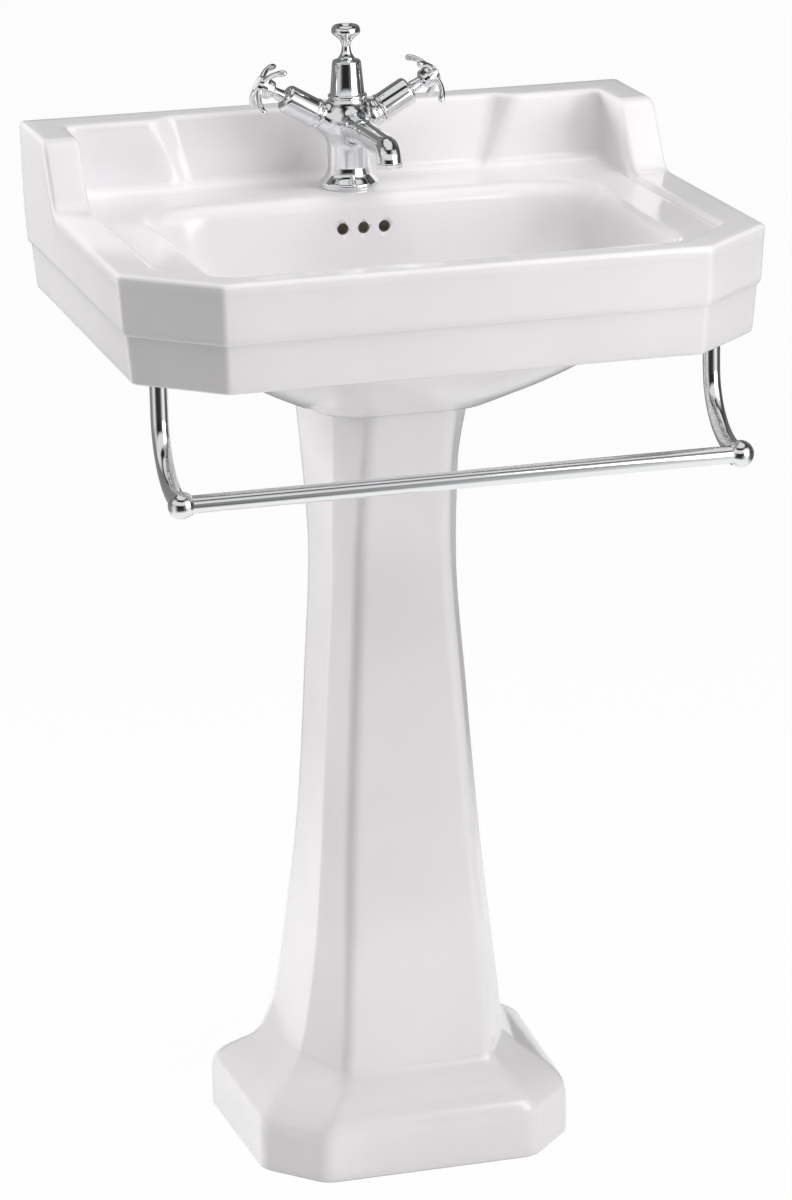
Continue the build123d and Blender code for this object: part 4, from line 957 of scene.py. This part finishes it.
def pedestal_row(z, inset=0.0, wall=9.0):
    """Closed row round the wall at one height: outside from the left end over the front, then back inside."""
    keys = np.array(PEDESTAL_KEYS)
    softness = max(7.0 - abs(z - 42.0), 0.0)
    marks = np.clip(z + softness * np.linspace(-1, 1, 9), 42, 700)
    sizes = smooth_through(keys[:, 0], keys[:, 1:], marks).mean(0)
    front_half, front, side_half, side, rear_half, rear, corner = sizes
    points = np.array(((-rear_half, WALL - rear), (-side_half, WALL - side), (-front_half, WALL - front), (0, WALL - front)))
    steps = np.diff(points, axis=0)
    steps = steps / np.linalg.norm(steps, axis=1, keepdims=True)
    inwards = np.stack((-steps[:, 1], steps[:, 0]), axis=1)

    def half_line(distance, radius):
        corners = [points[0] + np.array((distance / inwards[0][0], 0))]
        for k in (1, 2):
            aim = inwards[k - 1] + inwards[k]
            corners.append(points[k] + aim * distance / (1 + inwards[k - 1] @ inwards[k]))
        corners.append(points[3] + inwards[2] * distance)
        rows = []
        start = corners[0]
        for k, count in ((1, 16), (2, 12)):
            arc = np.vstack(rounding(corners[k - 1][None], corners[k][None], corners[k + 1][None], radius, 8))
            rows += [span(start, arc[0], count), arc[:-1]]
            start = arc[-1]
        rows.append(span(start, corners[3], 15))
        rows.append(corners[3][None])
        return np.vstack(rows)

    outside = half_line(inset, corner)
    inside = half_line(wall, max(corner - 6, 1.5))
    mirrored = np.array((-1, 1))
    outside = np.vstack((outside, outside[:-1][::-1] * mirrored))
    inside = np.vstack((inside, inside[:-1][::-1] * mirrored))
    return level(np.vstack((outside, inside[::-1])), z)


class OBJECT_OT_basin_pedestal(bpy.types.Operator):
    """Make the column with its plinth, and the lugs for the floor screws inside"""

    bl_idname = "object.basin_pedestal"
    bl_label = "Pedestal"

    def execute(self, context):
        rows = [pedestal_row(0, 3.0, 6.0), pedestal_row(0, 1.2, 8.0), pedestal_row(0.6, 0.4, 8.6)]
        heights = np.r_[1.8, 10, 20, 30, np.arange(34, 52, 1.5), np.arange(53, 100, 2.5), np.arange(102, 200, 7)]
        heights = np.r_[heights, np.arange(204, 560, 12), np.arange(566, 698, 7)]
        rows += [pedestal_row(z) for z in heights]
        rows += [pedestal_row(z) for z in (700, 706, 711)]
        rows += [pedestal_row(713.5, 0.5, 8.5), pedestal_row(714.7, 1.6, 7.4), pedestal_row(715, 3.0, 6.0)]
        column = ring_mesh("column_skin", rows, long_closed=False)
        work = bmesh.new()
        work.from_mesh(column.data)
        for side in (-1, 1):
            lug = block_mesh((side * 118 - 26, 98.5, 0.4), (side * 118 + 26, 131.5, 13.6))
            tool = put("lug", lug)
            cut(tool, rod_mesh([((side * 118, 115, 7), (0, 0, 1), 4, 20)]))
            work.from_mesh(tool.data)
            bpy.data.objects.remove(tool)
        work.to_mesh(column.data)
        work.free()
        column.data.materials.append(china_material("pedestal_glaze"))
        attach(column, "fixed")
        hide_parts("pedestal")
        return {"FINISHED"}


# Tap: a cast body, two valves with cross handles, a rod tower and its knob

VALVE_SLOPE = math.radians(30)
VALVE_RISE = 50.5
SPOUT_RISE = 57.4
SPOUT_REACH = 137.0
BODY_TOP = 80.0


def valve_axis(side):
    return (side * math.cos(VALVE_SLOPE), 0, math.sin(VALVE_SLOPE))


def valve_point(side, station):
    reach = np.array(valve_axis(side)) * station
    return np.array((0, TAP_Y, DECK + VALVE_RISE)) + reach


def body_field(points):
    """Distances from the tap body's skin, in millimetres round the tap hole's middle on the deck."""
    x, y, z = points[..., 0], points[..., 1], points[..., 2]
    off = np.hypot(x, y)
    marks = np.linspace(-4, 84, 400)
    keys = (-4, 0, 3.6, 5.2, 7.5, 10, 13, 20, 30, 38, 46, 53, 60, 67, 73, 78, 84)
    radii = (26.2, 26.4, 26.4, 26, 24, 21.6, 20, 19, 18.8, 19, 21.2, 23.4, 23.9, 22.6, 20.2, 17.4, 16.4)
    radius = smooth_through(keys, np.array(radii)[:, None], marks)[:, 0]
    lean = 1 / np.sqrt(1 + np.gradient(radius, marks) ** 2)
    field = (off - np.interp(z, marks, radius)) * np.interp(z, marks, lean)
    middle = np.array((0, 0, VALVE_RISE))
    for side in (-1, 1):
        axis = np.array(valve_axis(side))
        along = (points - middle) @ axis
        away = np.sqrt(np.maximum(((points - middle) ** 2).sum(-1) - along**2, 0))
        arm = np.maximum(away - 12.2, along - 30.6)
        field = blended(field, np.maximum(arm, -along), 6.0)
        for start, end, size in ((29.6, 31.4, 12.9), (31.4, 34.0, 11.6)):
            ring = np.maximum(away - size, np.maximum(start - along, along - end))
            field = blended(field, ring, 0.7)
    spout = from_run(points, (0, -8, SPOUT_RISE - 3), (0, -50, SPOUT_RISE + 0.2), 14.6, 10.8)
    spout = blended(spout, from_run(points, (0, -50, SPOUT_RISE + 0.2), (0, -SPOUT_REACH + 12, SPOUT_RISE), 10.8, 10.4), 2.0)
    turn = np.radians(np.linspace(90, 180, 9))
    bend = [(0, -SPOUT_REACH + 12 + 12 * math.cos(a), SPOUT_RISE - 12 + 12 * math.sin(a)) for a in turn]
    bend.append((0, -SPOUT_REACH, SPOUT_RISE - 22))
    for k, (start, end) in enumerate(zip(bend, bend[1:])):
        spout = np.minimum(spout, from_run(points, start, end, 10.4 + 0.06 * k, 10.46 + 0.06 * k))
    outlet = SPOUT_RISE - 12
    spout = np.maximum(spout, np.where(y < -SPOUT_REACH + 16, outlet - z, -9))
    field = blended(field, spout, 7.0)
    field = np.maximum(field, np.maximum(-z, z - BODY_TOP))
    bore = off - 2.7
    for side in (-1, 1):
        inlet = np.hypot(x + side * 11, y) - 4.6
        bore = np.minimum(bore, np.maximum(inlet, z - 25.5))
    bore = np.minimum(bore, np.maximum(np.hypot(x, y + 12.6) - 3.95, z - 24))
    return np.maximum(field, -bore)


def arms_tree():
    """Geometry Nodes: one curved, tapering arm, set round a hub, turned to its place and joined to it."""
    name = "handle_arms"
    if name in bpy.data.node_groups:
        return bpy.data.node_groups[name]
    tree = bpy.data.node_groups.new(name, "GeometryNodeTree")
    inputs = (
        ("Hub", "NodeSocketGeometry"),
        ("Arms", "NodeSocketInt"),
        ("Thickness", "NodeSocketFloat"),
        ("Root", "NodeSocketVector"),
        ("Crest", "NodeSocketVector"),
        ("Tip", "NodeSocketVector"),
        ("Place", "NodeSocketVector"),
        ("Turn", "NodeSocketRotation"),
        ("Material", "NodeSocketMaterial"),
    )
    for label, kind in inputs:
        tree.interface.new_socket(name=label, in_out="INPUT", socket_type=kind)
    tree.interface.new_socket(name="Handle", in_out="OUTPUT", socket_type="NodeSocketGeometry")
    start, end = tree.nodes.new("NodeGroupInput"), tree.nodes.new("NodeGroupOutput")
    out = start.outputs
    arm = add(tree, "GeometryNodeCurveQuadraticBezier", {"Start": out["Root"], "Middle": out["Crest"], "End": out["Tip"]})
    arm.inputs["Resolution"].default_value = 48
    along = add(tree, "GeometryNodeSplineParameter")
    swell = add(tree, "ShaderNodeFloatCurve", {"Value": along.outputs["Factor"]})
    curve = swell.mapping.curves[0]
    curve.points[0].location = (0.0, 1.0)
    curve.points[1].location = (1.0, 0.05)
    for place in ((0.3, 0.86), (0.6, 0.8), (0.82, 1.0), (0.92, 0.94), (0.97, 0.62)):
        curve.points.new(*place)
    swell.mapping.update()
    radius = add(tree, "ShaderNodeMath", operation="MULTIPLY")
    tree.links.new(swell.outputs[0], radius.inputs[0])
    tree.links.new(out["Thickness"], radius.inputs[1])
    circle = add(tree, "GeometryNodeCurvePrimitiveCircle")
    circle.inputs["Resolution"].default_value = 32
    circle.inputs["Radius"].default_value = 1.0
    tube = add(tree, "GeometryNodeCurveToMesh", {"Curve": arm.outputs[0], "Profile Curve": circle.outputs[0], "Scale": radius.outputs[0]})
    tube.inputs["Fill Caps"].default_value = True
    spots = add(tree, "GeometryNodeMeshCircle", {"Vertices": out["Arms"]})
    spots.inputs["Radius"].default_value = 0.0
    count = add(tree, "ShaderNodeMath", {1: out["Arms"]}, operation="DIVIDE")
    count.inputs[0].default_value = 2 * math.pi
    index = add(tree, "GeometryNodeInputIndex")
    angle = add(tree, "ShaderNodeMath", {0: index.outputs[0], 1: count.outputs[0]}, operation="MULTIPLY_ADD")
    angle.inputs[2].default_value = math.radians(45)
    spin = add(tree, "ShaderNodeCombineXYZ", {"Z": angle.outputs[0]})
    spread = add(tree, "GeometryNodeInstanceOnPoints", {"Points": spots.outputs[0], "Instance": tube.outputs[0], "Rotation": spin.outputs[0]})
    solid = add(tree, "GeometryNodeRealizeInstances", {"Geometry": spread.outputs[0]})
    moved = add(tree, "GeometryNodeTransform", {"Geometry": solid.outputs[0], "Translation": out["Place"], "Rotation": out["Turn"]})
    joined = add(tree, "GeometryNodeJoinGeometry")
    tree.links.new(out["Hub"], joined.inputs[0])
    tree.links.new(moved.outputs[0], joined.inputs[0])
    smooth = add(tree, "GeometryNodeSetShadeSmooth", {"Geometry": joined.outputs[0]})
    finish = add(tree, "GeometryNodeSetMaterial", {"Geometry": smooth.outputs[0], "Material": out["Material"]})
    tree.links.new(finish.outputs[0], end.inputs[0])
    return tree


def stand_for(piece, node, body, material):
    """Finish a piece that takes the place of a solid."""
    if not piece.data.materials:
        piece.data.materials.append(material)
    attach(piece, body)
    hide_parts(node)


class OBJECT_OT_basin_tap(bpy.types.Operator):
    """Make the tap's cast body with its spout"""

    bl_idname = "object.basin_tap"
    bl_label = "Tap body"

    def execute(self, context):
        piece = skin_mesh("tap_skin", body_field, (-42, -151, -1), (42, 28, 83), 0.8)
        piece.data.transform(Matrix.Translation((0, TAP_Y * 0.001, DECK * 0.001)))
        stand_for(piece, "tap_body", "fixed", chrome_material())
        return {"FINISHED"}


class OBJECT_OT_basin_handles(bpy.types.Operator):
    """Make both valve shrouds and both cross handles"""

    bl_idname = "object.basin_handles"
    bl_label = "Handles"

    def execute(self, context):
        thickness = context.scene.basin_tap.arm_round
        shroud = ((11.3, 34.2), (13.6, 34.2, 0.9), (13.6, 36.6, 0.9), (12.9, 37.4, 0.4), (12.9, 67, 4.2), (4.6, 67, 0.4), (4.6, 63.5), (11.3, 62, 1))
        hub = ((4.1, 68.5), (5.9, 68.5, 0.5), (5.2, 73.5), (4.9, 78, 1.4), (8.6, 80.4, 1.6), (9.3, 86, 2.5), (8.9, 91.4, 2.4), (7.5, 95, 0.5), (6.5, 95), (6.5, 92.4), (4.1, 92.4))
        for side, name in ((-1, "hot"), (1, "cold")):
            middle, axis = valve_point(side, 0), valve_axis(side)
            piece = turned_mesh(name + "_shroud_skin", shroud, middle, axis)
            stand_for(piece, name + "_shroud", "fixed", chrome_material())
            piece = turned_mesh(name + "_handle_skin", hub, middle, axis)
            turn = Vector(axis).to_track_quat("Z", "Y").to_euler()
            run_tree(
                piece,
                arms_tree(),
                Arms=4,
                Thickness=thickness,
                Root=(0.004, 0, 0.0906),
                Crest=(0.0205, 0, 0.0925),
                Tip=(0.0286, 0, 0.0806),
                Place=tuple(middle * 0.001),
                Turn=turn,
                Material=chrome_material(),
            )
            stand_for(piece, name + "_handle", name + "_control", chrome_material())
        return {"FINISHED"}


class OBJECT_OT_basin_tower(bpy.types.Operator):
    """Make the rod tower and the knob of the pop-up waste"""

    bl_idname = "object.basin_tower"
    bl_label = "Rod tower and knob"

    def execute(self, context):
        tower = ((2.8, 80), (17.4, 80, 0.9), (17.4, 82.8, 1.2), (15.6, 83.6, 0.5), (15.2, 84.5), (14.2, 96), (13.0, 110), (12.5, 114, 4.2), (2.8, 114, 0.4))
        stand_for(turned_mesh("tower_skin", tower), "rod_tower", "fixed", chrome_material())
        foot = ((7.4, 114.4), (7.2, 115.9), (6.2, 117.3), (4.9, 119.6), (4.2, 122.4), (3.9, 125.4), (4.5, 128.6), (6.4, 132.2), (9.6, 135))
        rim = ((12.4, 137.6), (12.9, 139.8), (12.2, 142.6), (10.2, 144.6), (8.2, 144.6), (6.4, 142.6), (4.4, 140.4), (2.2, 139.4))
        knob = ((2.45, 114.4), *curved((*foot, *rim)), (0, 139.1))
        knob = ((0, 133.6), (2.45, 133.6), *knob)
        stand_for(turned_mesh("knob_skin", knob), "lift_knob", "lift", chrome_material())
        return {"FINISHED"}


# Towel rail


def path_piece(name, points, round_from=None):
    """Piece that holds an open path through points in millimetres."""
    curve = bpy.data.curves.new(name, "CURVE")
    curve.dimensions = "3D"
    spline = curve.splines.new("POLY")
    spline.points.add(len(points) - 1)
    for spot, point in zip(spline.points, points):
        spot.co = (*(0.001 * v for v in point), 1)
    piece = bpy.data.objects.new(name, curve)
    bpy.context.scene.collection.objects.link(piece)
    return piece


def as_mesh(piece):
    """Piece of the same name with its path turned into a plain mesh."""
    name, mesh = piece.name, bpy.data.meshes.new_from_object(piece.evaluated_get(bpy.context.evaluated_depsgraph_get()))
    bpy.data.objects.remove(piece)
    return put(name, mesh)


def tube_piece(name, points, radius):
    piece = path_piece(name, points)
    change = piece.modifiers.new("tube", "NODES")
    change.node_group = tube_tree()
    for item in change.node_group.interface.items_tree:
        if item.item_type == "SOCKET" and item.name in ("Radius", "Material"):
            change[item.identifier] = radius if item.name == "Radius" else chrome_material()
    bpy.context.view_layer.update()
    return as_mesh(piece)


class OBJECT_OT_basin_rail(bpy.types.Operator):
    """Make the towel rail, its two bent brackets and the balls that join them"""

    bl_idname = "object.basin_rail"
    bl_label = "Towel rail"

    def execute(self, context):
        sizes = context.scene.basin_tap
        rail = tube_piece("rail_skin", ((-BALL_X + 6, RAIL_Y, RAIL_HEIGHT), (BALL_X - 6, RAIL_Y, RAIL_HEIGHT)), sizes.rail_radius)
        stand_for(rail, "towel_rail", "fixed", chrome_material())
        for side, name in ((-1, "left"), (1, "right")):
            x = side * BALL_X
            turn = np.radians(np.linspace(0, 90, 25))
            bend = [(x, BRACKET_Y - 58 + 58 * math.cos(a), RAIL_HEIGHT + 58 - 58 * math.sin(a)) for a in turn]
            path = [(x, BRACKET_Y, LUG_FOOT - 1.5), *bend, (x, RAIL_Y + 7, RAIL_HEIGHT)]
            bracket = tube_piece(name + "_bracket_skin", path, sizes.bracket_radius)
            stand_for(bracket, name + "_rail_bracket", "fixed", chrome_material())
            turn = np.radians(np.linspace(90, -78, 29))
            ball = [(11.5 * math.cos(a), 11.5 * math.sin(a)) for a in turn]
            ball = [(0, 11.5), *ball[1:], (2.4, -11.25)]
            ball = ((0, 11.5), *ball[1:-1], (0, -11.5))
            piece = turned_mesh(name + "_ball_skin", ball, (x, RAIL_Y, RAIL_HEIGHT), (side, 0, 0))
            stand_for(piece, name + "_ball_end", "fixed", chrome_material())
        return {"FINISHED"}


# Solids that keep their own shape

CHROME = ("aerator_sleeve", "lift_rod", "waste_flange", "waste_plug", "waste_tee", "pivot_nut")
CHROME += ("hot_spindle", "cold_spindle", "hot_handle_screw", "cold_handle_screw")
BRASS = ("hot_valve", "cold_valve", "tap_fixing_stud", "tap_fixing_nut")
BRASS += ("waste_backnut",)
ZINC = ("tap_clamp_plate", "ball_rod", "clevis_strap", "strap_screw", "rod_spring_clip", "rail_grub_screws")
ZINC += ("bracket_washers", "left_bracket_nut", "right_bracket_nut")
RUBBER = ("tap_base_seal", "tap_rubber_washer", "flange_seal", "tapered_washer", "tee_seal", "plug_seal", "bracket_pads")
PLASTIC = ("aerator_insert", "ball_seat", "hot_packing", "cold_packing")
ENAMEL = ("hot_cap", "cold_cap")


def dress(names, material):
    for name in names:
        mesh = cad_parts[name].data
        mesh.materials.clear()
        mesh.materials.append(material)


class OBJECT_OT_basin_carried(bpy.types.Operator):
    """Give every carried-over solid its finish"""

    bl_idname = "object.basin_carried"
    bl_label = "Small parts"

    def execute(self, context):
        plate = context.scene.basin_plate
        dress(CHROME, chrome_material())
        dress(BRASS, plated_material("turned_brass", tuple(plate.brass), 0.18, 0.3, 1400.0, 0.00002))
        dress(ZINC, zinc_material("zinc_plate", tuple(plate.zinc)))
        dress(RUBBER, moulded_material("rubber", tuple(plate.rubber), 0.55, 0.8, 2200.0, 0.00003))
        dress(PLASTIC, moulded_material("plastic", tuple(plate.plastic), 0.3, 0.45, 1500.0, 0.00001))
        dress(ENAMEL, moulded_material("enamel", (0.82, 0.82, 0.79), 0.1, 0.16, 900.0, 0.000006))
        return {"FINISHED"}


# Stage


def lamp(name, place, target, size, power, seen=True, fan=180.0):
    data = bpy.data.lights.new(name, "AREA")
    data.shape = "RECTANGLE"
    data.spread = math.radians(fan)
    data.size, data.size_y = size
    data.energy = power
    obj = bpy.data.objects.new(name, data)
    bpy.context.scene.collection.objects.link(obj)
    obj.location = place
    obj.visible_glossy = seen
    obj.rotation_euler = (Vector(target) - Vector(place)).to_track_quat("-Z", "Y").to_euler()


def studio_group():
    """What polished metal sees round it: two pale panels beside the camera, a dark gap at the camera, a dim rear."""
    name = "studio"
    if name in bpy.data.node_groups:
        return bpy.data.node_groups[name]
    tree, start, end = new_group(name, (("Direction", "NodeSocketVector", (0.0, 0.0, 1.0)),), (("Level", "NodeSocketFloat"),))
    turned = add(tree, "ShaderNodeVectorRotate", {"Vector": start.outputs["Direction"]}, rotation_type="Z_AXIS")
    turned.inputs["Angle"].default_value = math.radians(15.2)
    axes = add(tree, "ShaderNodeSeparateXYZ", {"Vector": turned.outputs["Vector"]})
    angle = combined(tree, "ARCTAN2", axes.outputs["X"], combined(tree, "MULTIPLY", axes.outputs["Y"], -1.0))
    share = combined(tree, "ADD", combined(tree, "DIVIDE", angle, 2 * math.pi), 0.5)
    ramp = add(tree, "ShaderNodeValToRGB", {"Fac": share})
    stops = ((-180, 0.22), (-140, 0.3), (-95, 0.25), (-80, 0.5), (-64, 0.9), (-50, 0.65), (-40, 0.22), (-31, 0.05))
    stops += ((-25, 0.028), (6, 0.028), (13, 0.05), (24, 0.2), (37, 0.65), (50, 0.95), (64, 1.0), (72, 0.6))
    stops += ((80, 0.2), (95, 0.09), (120, 0.1), (140, 0.2), (180, 0.22))
    line = ramp.color_ramp.elements
    line[0].color = line[1].color = (stops[0][1],) * 3 + (1,)
    for degrees, tone in stops[1:-1]:
        line.new(degrees / 360 + 0.5).color = (tone, tone, tone, 1)
    flat = combined(tree, "SQRT", combined(tree, "ADD", combined(tree, "POWER", axes.outputs["X"], 2.0), combined(tree, "POWER", axes.outputs["Y"], 2.0)), 0.0)
    rise = combined(tree, "ARCTAN2", axes.outputs["Z"], flat)
    front = stepped(tree, combined(tree, "MULTIPLY", axes.outputs["Y"], -1.0), -0.25, 0.15)
    ceiling = combined(tree, "MULTIPLY", stepped(tree, rise, 0.12, 0.3), front)
    ceiling = combined(tree, "MULTIPLY", ceiling, stepped(tree, rise, 0.8, 0.62))
    ceiling = combined(tree, "MAXIMUM", ceiling, stepped(tree, rise, 0.95, 1.12))
    low = combined(tree, "MULTIPLY", ramp.outputs["Color"], stepped(tree, rise, 1.0, 0.7))
    total = combined(tree, "MAXIMUM", combined(tree, "MAXIMUM", low, ceiling), 0.028)
    tree.links.new(total, end.inputs["Level"])
    return tree


def floor_material(share):
    """Pale floor that keeps the object's shadow; the camera sees plain white, metal sees the studio far out on it."""
    material = bpy.data.materials.new("floor")
    material.use_nodes = True
    tree = material.node_tree
    tree.nodes.clear()
    out = add(tree, "ShaderNodeOutputMaterial")
    place = add(tree, "ShaderNodeTexCoord")
    studio = add(tree, "ShaderNodeGroup", node_tree=studio_group())
    tree.links.new(place.outputs["Object"], studio.inputs["Direction"])
    reach = add(tree, "ShaderNodeVectorMath", {"Vector": place.outputs["Object"]}, operation="LENGTH")
    far = stepped(tree, reach.outputs["Value"], 0.7, 1.5)
    path = add(tree, "ShaderNodeLightPath")
    mirror = combined(tree, "MULTIPLY", path.outputs["Is Glossy Ray"], far)
    tone = add(tree, "ShaderNodeMix", {0: mirror, 3: studio.outputs["Level"]}, data_type="FLOAT")
    tone.inputs[2].default_value = 1.0
    plain = add(tree, "ShaderNodeBsdfDiffuse", _Color=(0.9, 0.9, 0.9, 1))
    glow = add(tree, "ShaderNodeEmission", {"Strength": tone.outputs[0]})
    seen = combined(tree, "MAXIMUM", path.outputs["Is Camera Ray"], path.outputs["Is Glossy Ray"])
    seen = combined(tree, "MAXIMUM", seen, path.outputs["Is Transmission Ray"])
    mix = add(tree, "ShaderNodeMixShader", {"Fac": combined(tree, "MULTIPLY", seen, share)})
    tree.links.new(plain.outputs[0], mix.inputs[1])
    tree.links.new(glow.outputs[0], mix.inputs[2])
    tree.links.new(mix.outputs[0], out.inputs["Surface"])
    return material


def surroundings(fill):
    """World: plain white to the camera, the studio to reflections, a soft fill to the rest."""
    world = bpy.data.worlds.new("surroundings")
    world.use_nodes = True
    tree = world.node_tree
    tree.nodes.clear()
    out = add(tree, "ShaderNodeOutputWorld")
    back = add(tree, "ShaderNodeBackground")
    path = add(tree, "ShaderNodeLightPath")
    place = add(tree, "ShaderNodeTexCoord")
    studio = add(tree, "ShaderNodeGroup", node_tree=studio_group())
    tree.links.new(place.outputs["Generated"], studio.inputs["Direction"])
    mirror = combined(tree, "MAXIMUM", path.outputs["Is Glossy Ray"], path.outputs["Is Transmission Ray"])
    tone = add(tree, "ShaderNodeMix", {0: mirror, 3: studio.outputs["Level"]}, data_type="FLOAT")
    tone.inputs[2].default_value = fill
    strength = combined(tree, "MAXIMUM", tone.outputs[0], path.outputs["Is Camera Ray"])
    tree.links.new(strength, back.inputs["Strength"])
    tree.links.new(back.outputs[0], out.inputs["Surface"])
    return world


class OBJECT_OT_basin_stage(bpy.types.Operator):
    """Add the floor, the white surroundings, the lamps and the camera"""

    bl_idname = "object.basin_stage"
    bl_label = "Stage"

    def execute(self, context):
        scene = context.scene
        settings = scene.basin_stage
        scene.view_settings.view_transform = "Standard"
        mesh = bpy.data.meshes.new("floor")
        mesh.from_pydata([(-9, -9, 0), (9, -9, 0), (9, 9, 0), (-9, 9, 0)], [], [(0, 1, 2, 3)])
        mesh.materials.append(floor_material(settings.floor_level))
        put("floor", mesh)
        scene.world = surroundings(settings.fill_level)
        power = settings.lamp_level
        lamp("left_box", (-2.05, 1.8, 1.35), (-0.2, 0, 1.0), (1.2, 1.4), 20 * power, seen=False, fan=80.0)
        lamp("front_box", (2.15, -2.65, 1.4), (0, 0, 0.6), (2.4, 2.6), 66 * power)
        lamp("top_box", (0.1, -0.8, 3.1), (0, 0, 0.8), (2.0, 2.0), 47 * power, seen=False)
        yaw, pitch, roll = (math.radians(a) for a in (15.275, 16.414, 1.286))
        ahead = Vector((math.sin(yaw) * math.cos(pitch), math.cos(yaw) * math.cos(pitch), -math.sin(pitch)))
        level_right = Vector((math.cos(yaw), -math.sin(yaw), 0))
        level_down = ahead.cross(level_right)
        right = level_right * math.cos(roll) + level_down * math.sin(roll)
        down = level_down * math.cos(roll) - level_right * math.sin(roll)
        data = bpy.data.cameras.new("camera")
        data.lens = settings.lens
        data.sensor_width = 36
        data.clip_end = 50
        camera = bpy.data.objects.new("camera", data)
        scene.collection.objects.link(camera)
        turn = Matrix((right, -down, -ahead)).transposed().to_4x4()
        camera.matrix_world = Matrix.Translation((-1.0241, -3.7287, 1.6608)) @ turn
        scene.camera = camera
        return {"FINISHED"}


# Panel and start


class VIEW3D_PT_basin(bpy.types.Panel):
    """Lists the basin's settings and pieces"""

    bl_label = "Pedestal basin"
    bl_space_type = "VIEW_3D"
    bl_region_type = "UI"
    bl_category = "Basin"

    def draw(self, context):
        layout = self.layout
        for name in SETTINGS:
            owner = getattr(context.scene, name)
            box = layout.box()
            for key in owner.bl_rna.properties.keys():
                if key not in ("rna_type", "name"):
                    box.prop(owner, key)
        for operator in OPERATORS:
            layout.operator(operator.bl_idname)


SETTINGS = {"basin_glaze": BasinGlaze, "basin_plate": BasinPlate, "basin_tap": BasinTap, "basin_stage": BasinStage}
OPERATORS = (
    OBJECT_OT_basin_china,
    OBJECT_OT_basin_pedestal,
    OBJECT_OT_basin_tap,
    OBJECT_OT_basin_handles,
    OBJECT_OT_basin_tower,
    OBJECT_OT_basin_rail,
    OBJECT_OT_basin_carried,
    OBJECT_OT_basin_stage,
)


def register():
    for cls in (*SETTINGS.values(), *OPERATORS, VIEW3D_PT_basin):
        bpy.utils.register_class(cls)
    for name, cls in SETTINGS.items():
        setattr(bpy.types.Scene, name, bpy.props.PointerProperty(type=cls))


def unregister():
    for name in SETTINGS:
        delattr(bpy.types.Scene, name)
    for cls in reversed((*SETTINGS.values(), *OPERATORS, VIEW3D_PT_basin)):
        bpy.utils.unregister_class(cls)


def main():
    register()
    bpy.ops.object.basin_china()
    bpy.ops.object.basin_pedestal()
    bpy.ops.object.basin_tap()
    bpy.ops.object.basin_handles()
    bpy.ops.object.basin_tower()
    bpy.ops.object.basin_rail()
    bpy.ops.object.basin_carried()
    bpy.ops.object.basin_stage()


if __name__ == "__main__":
    main()
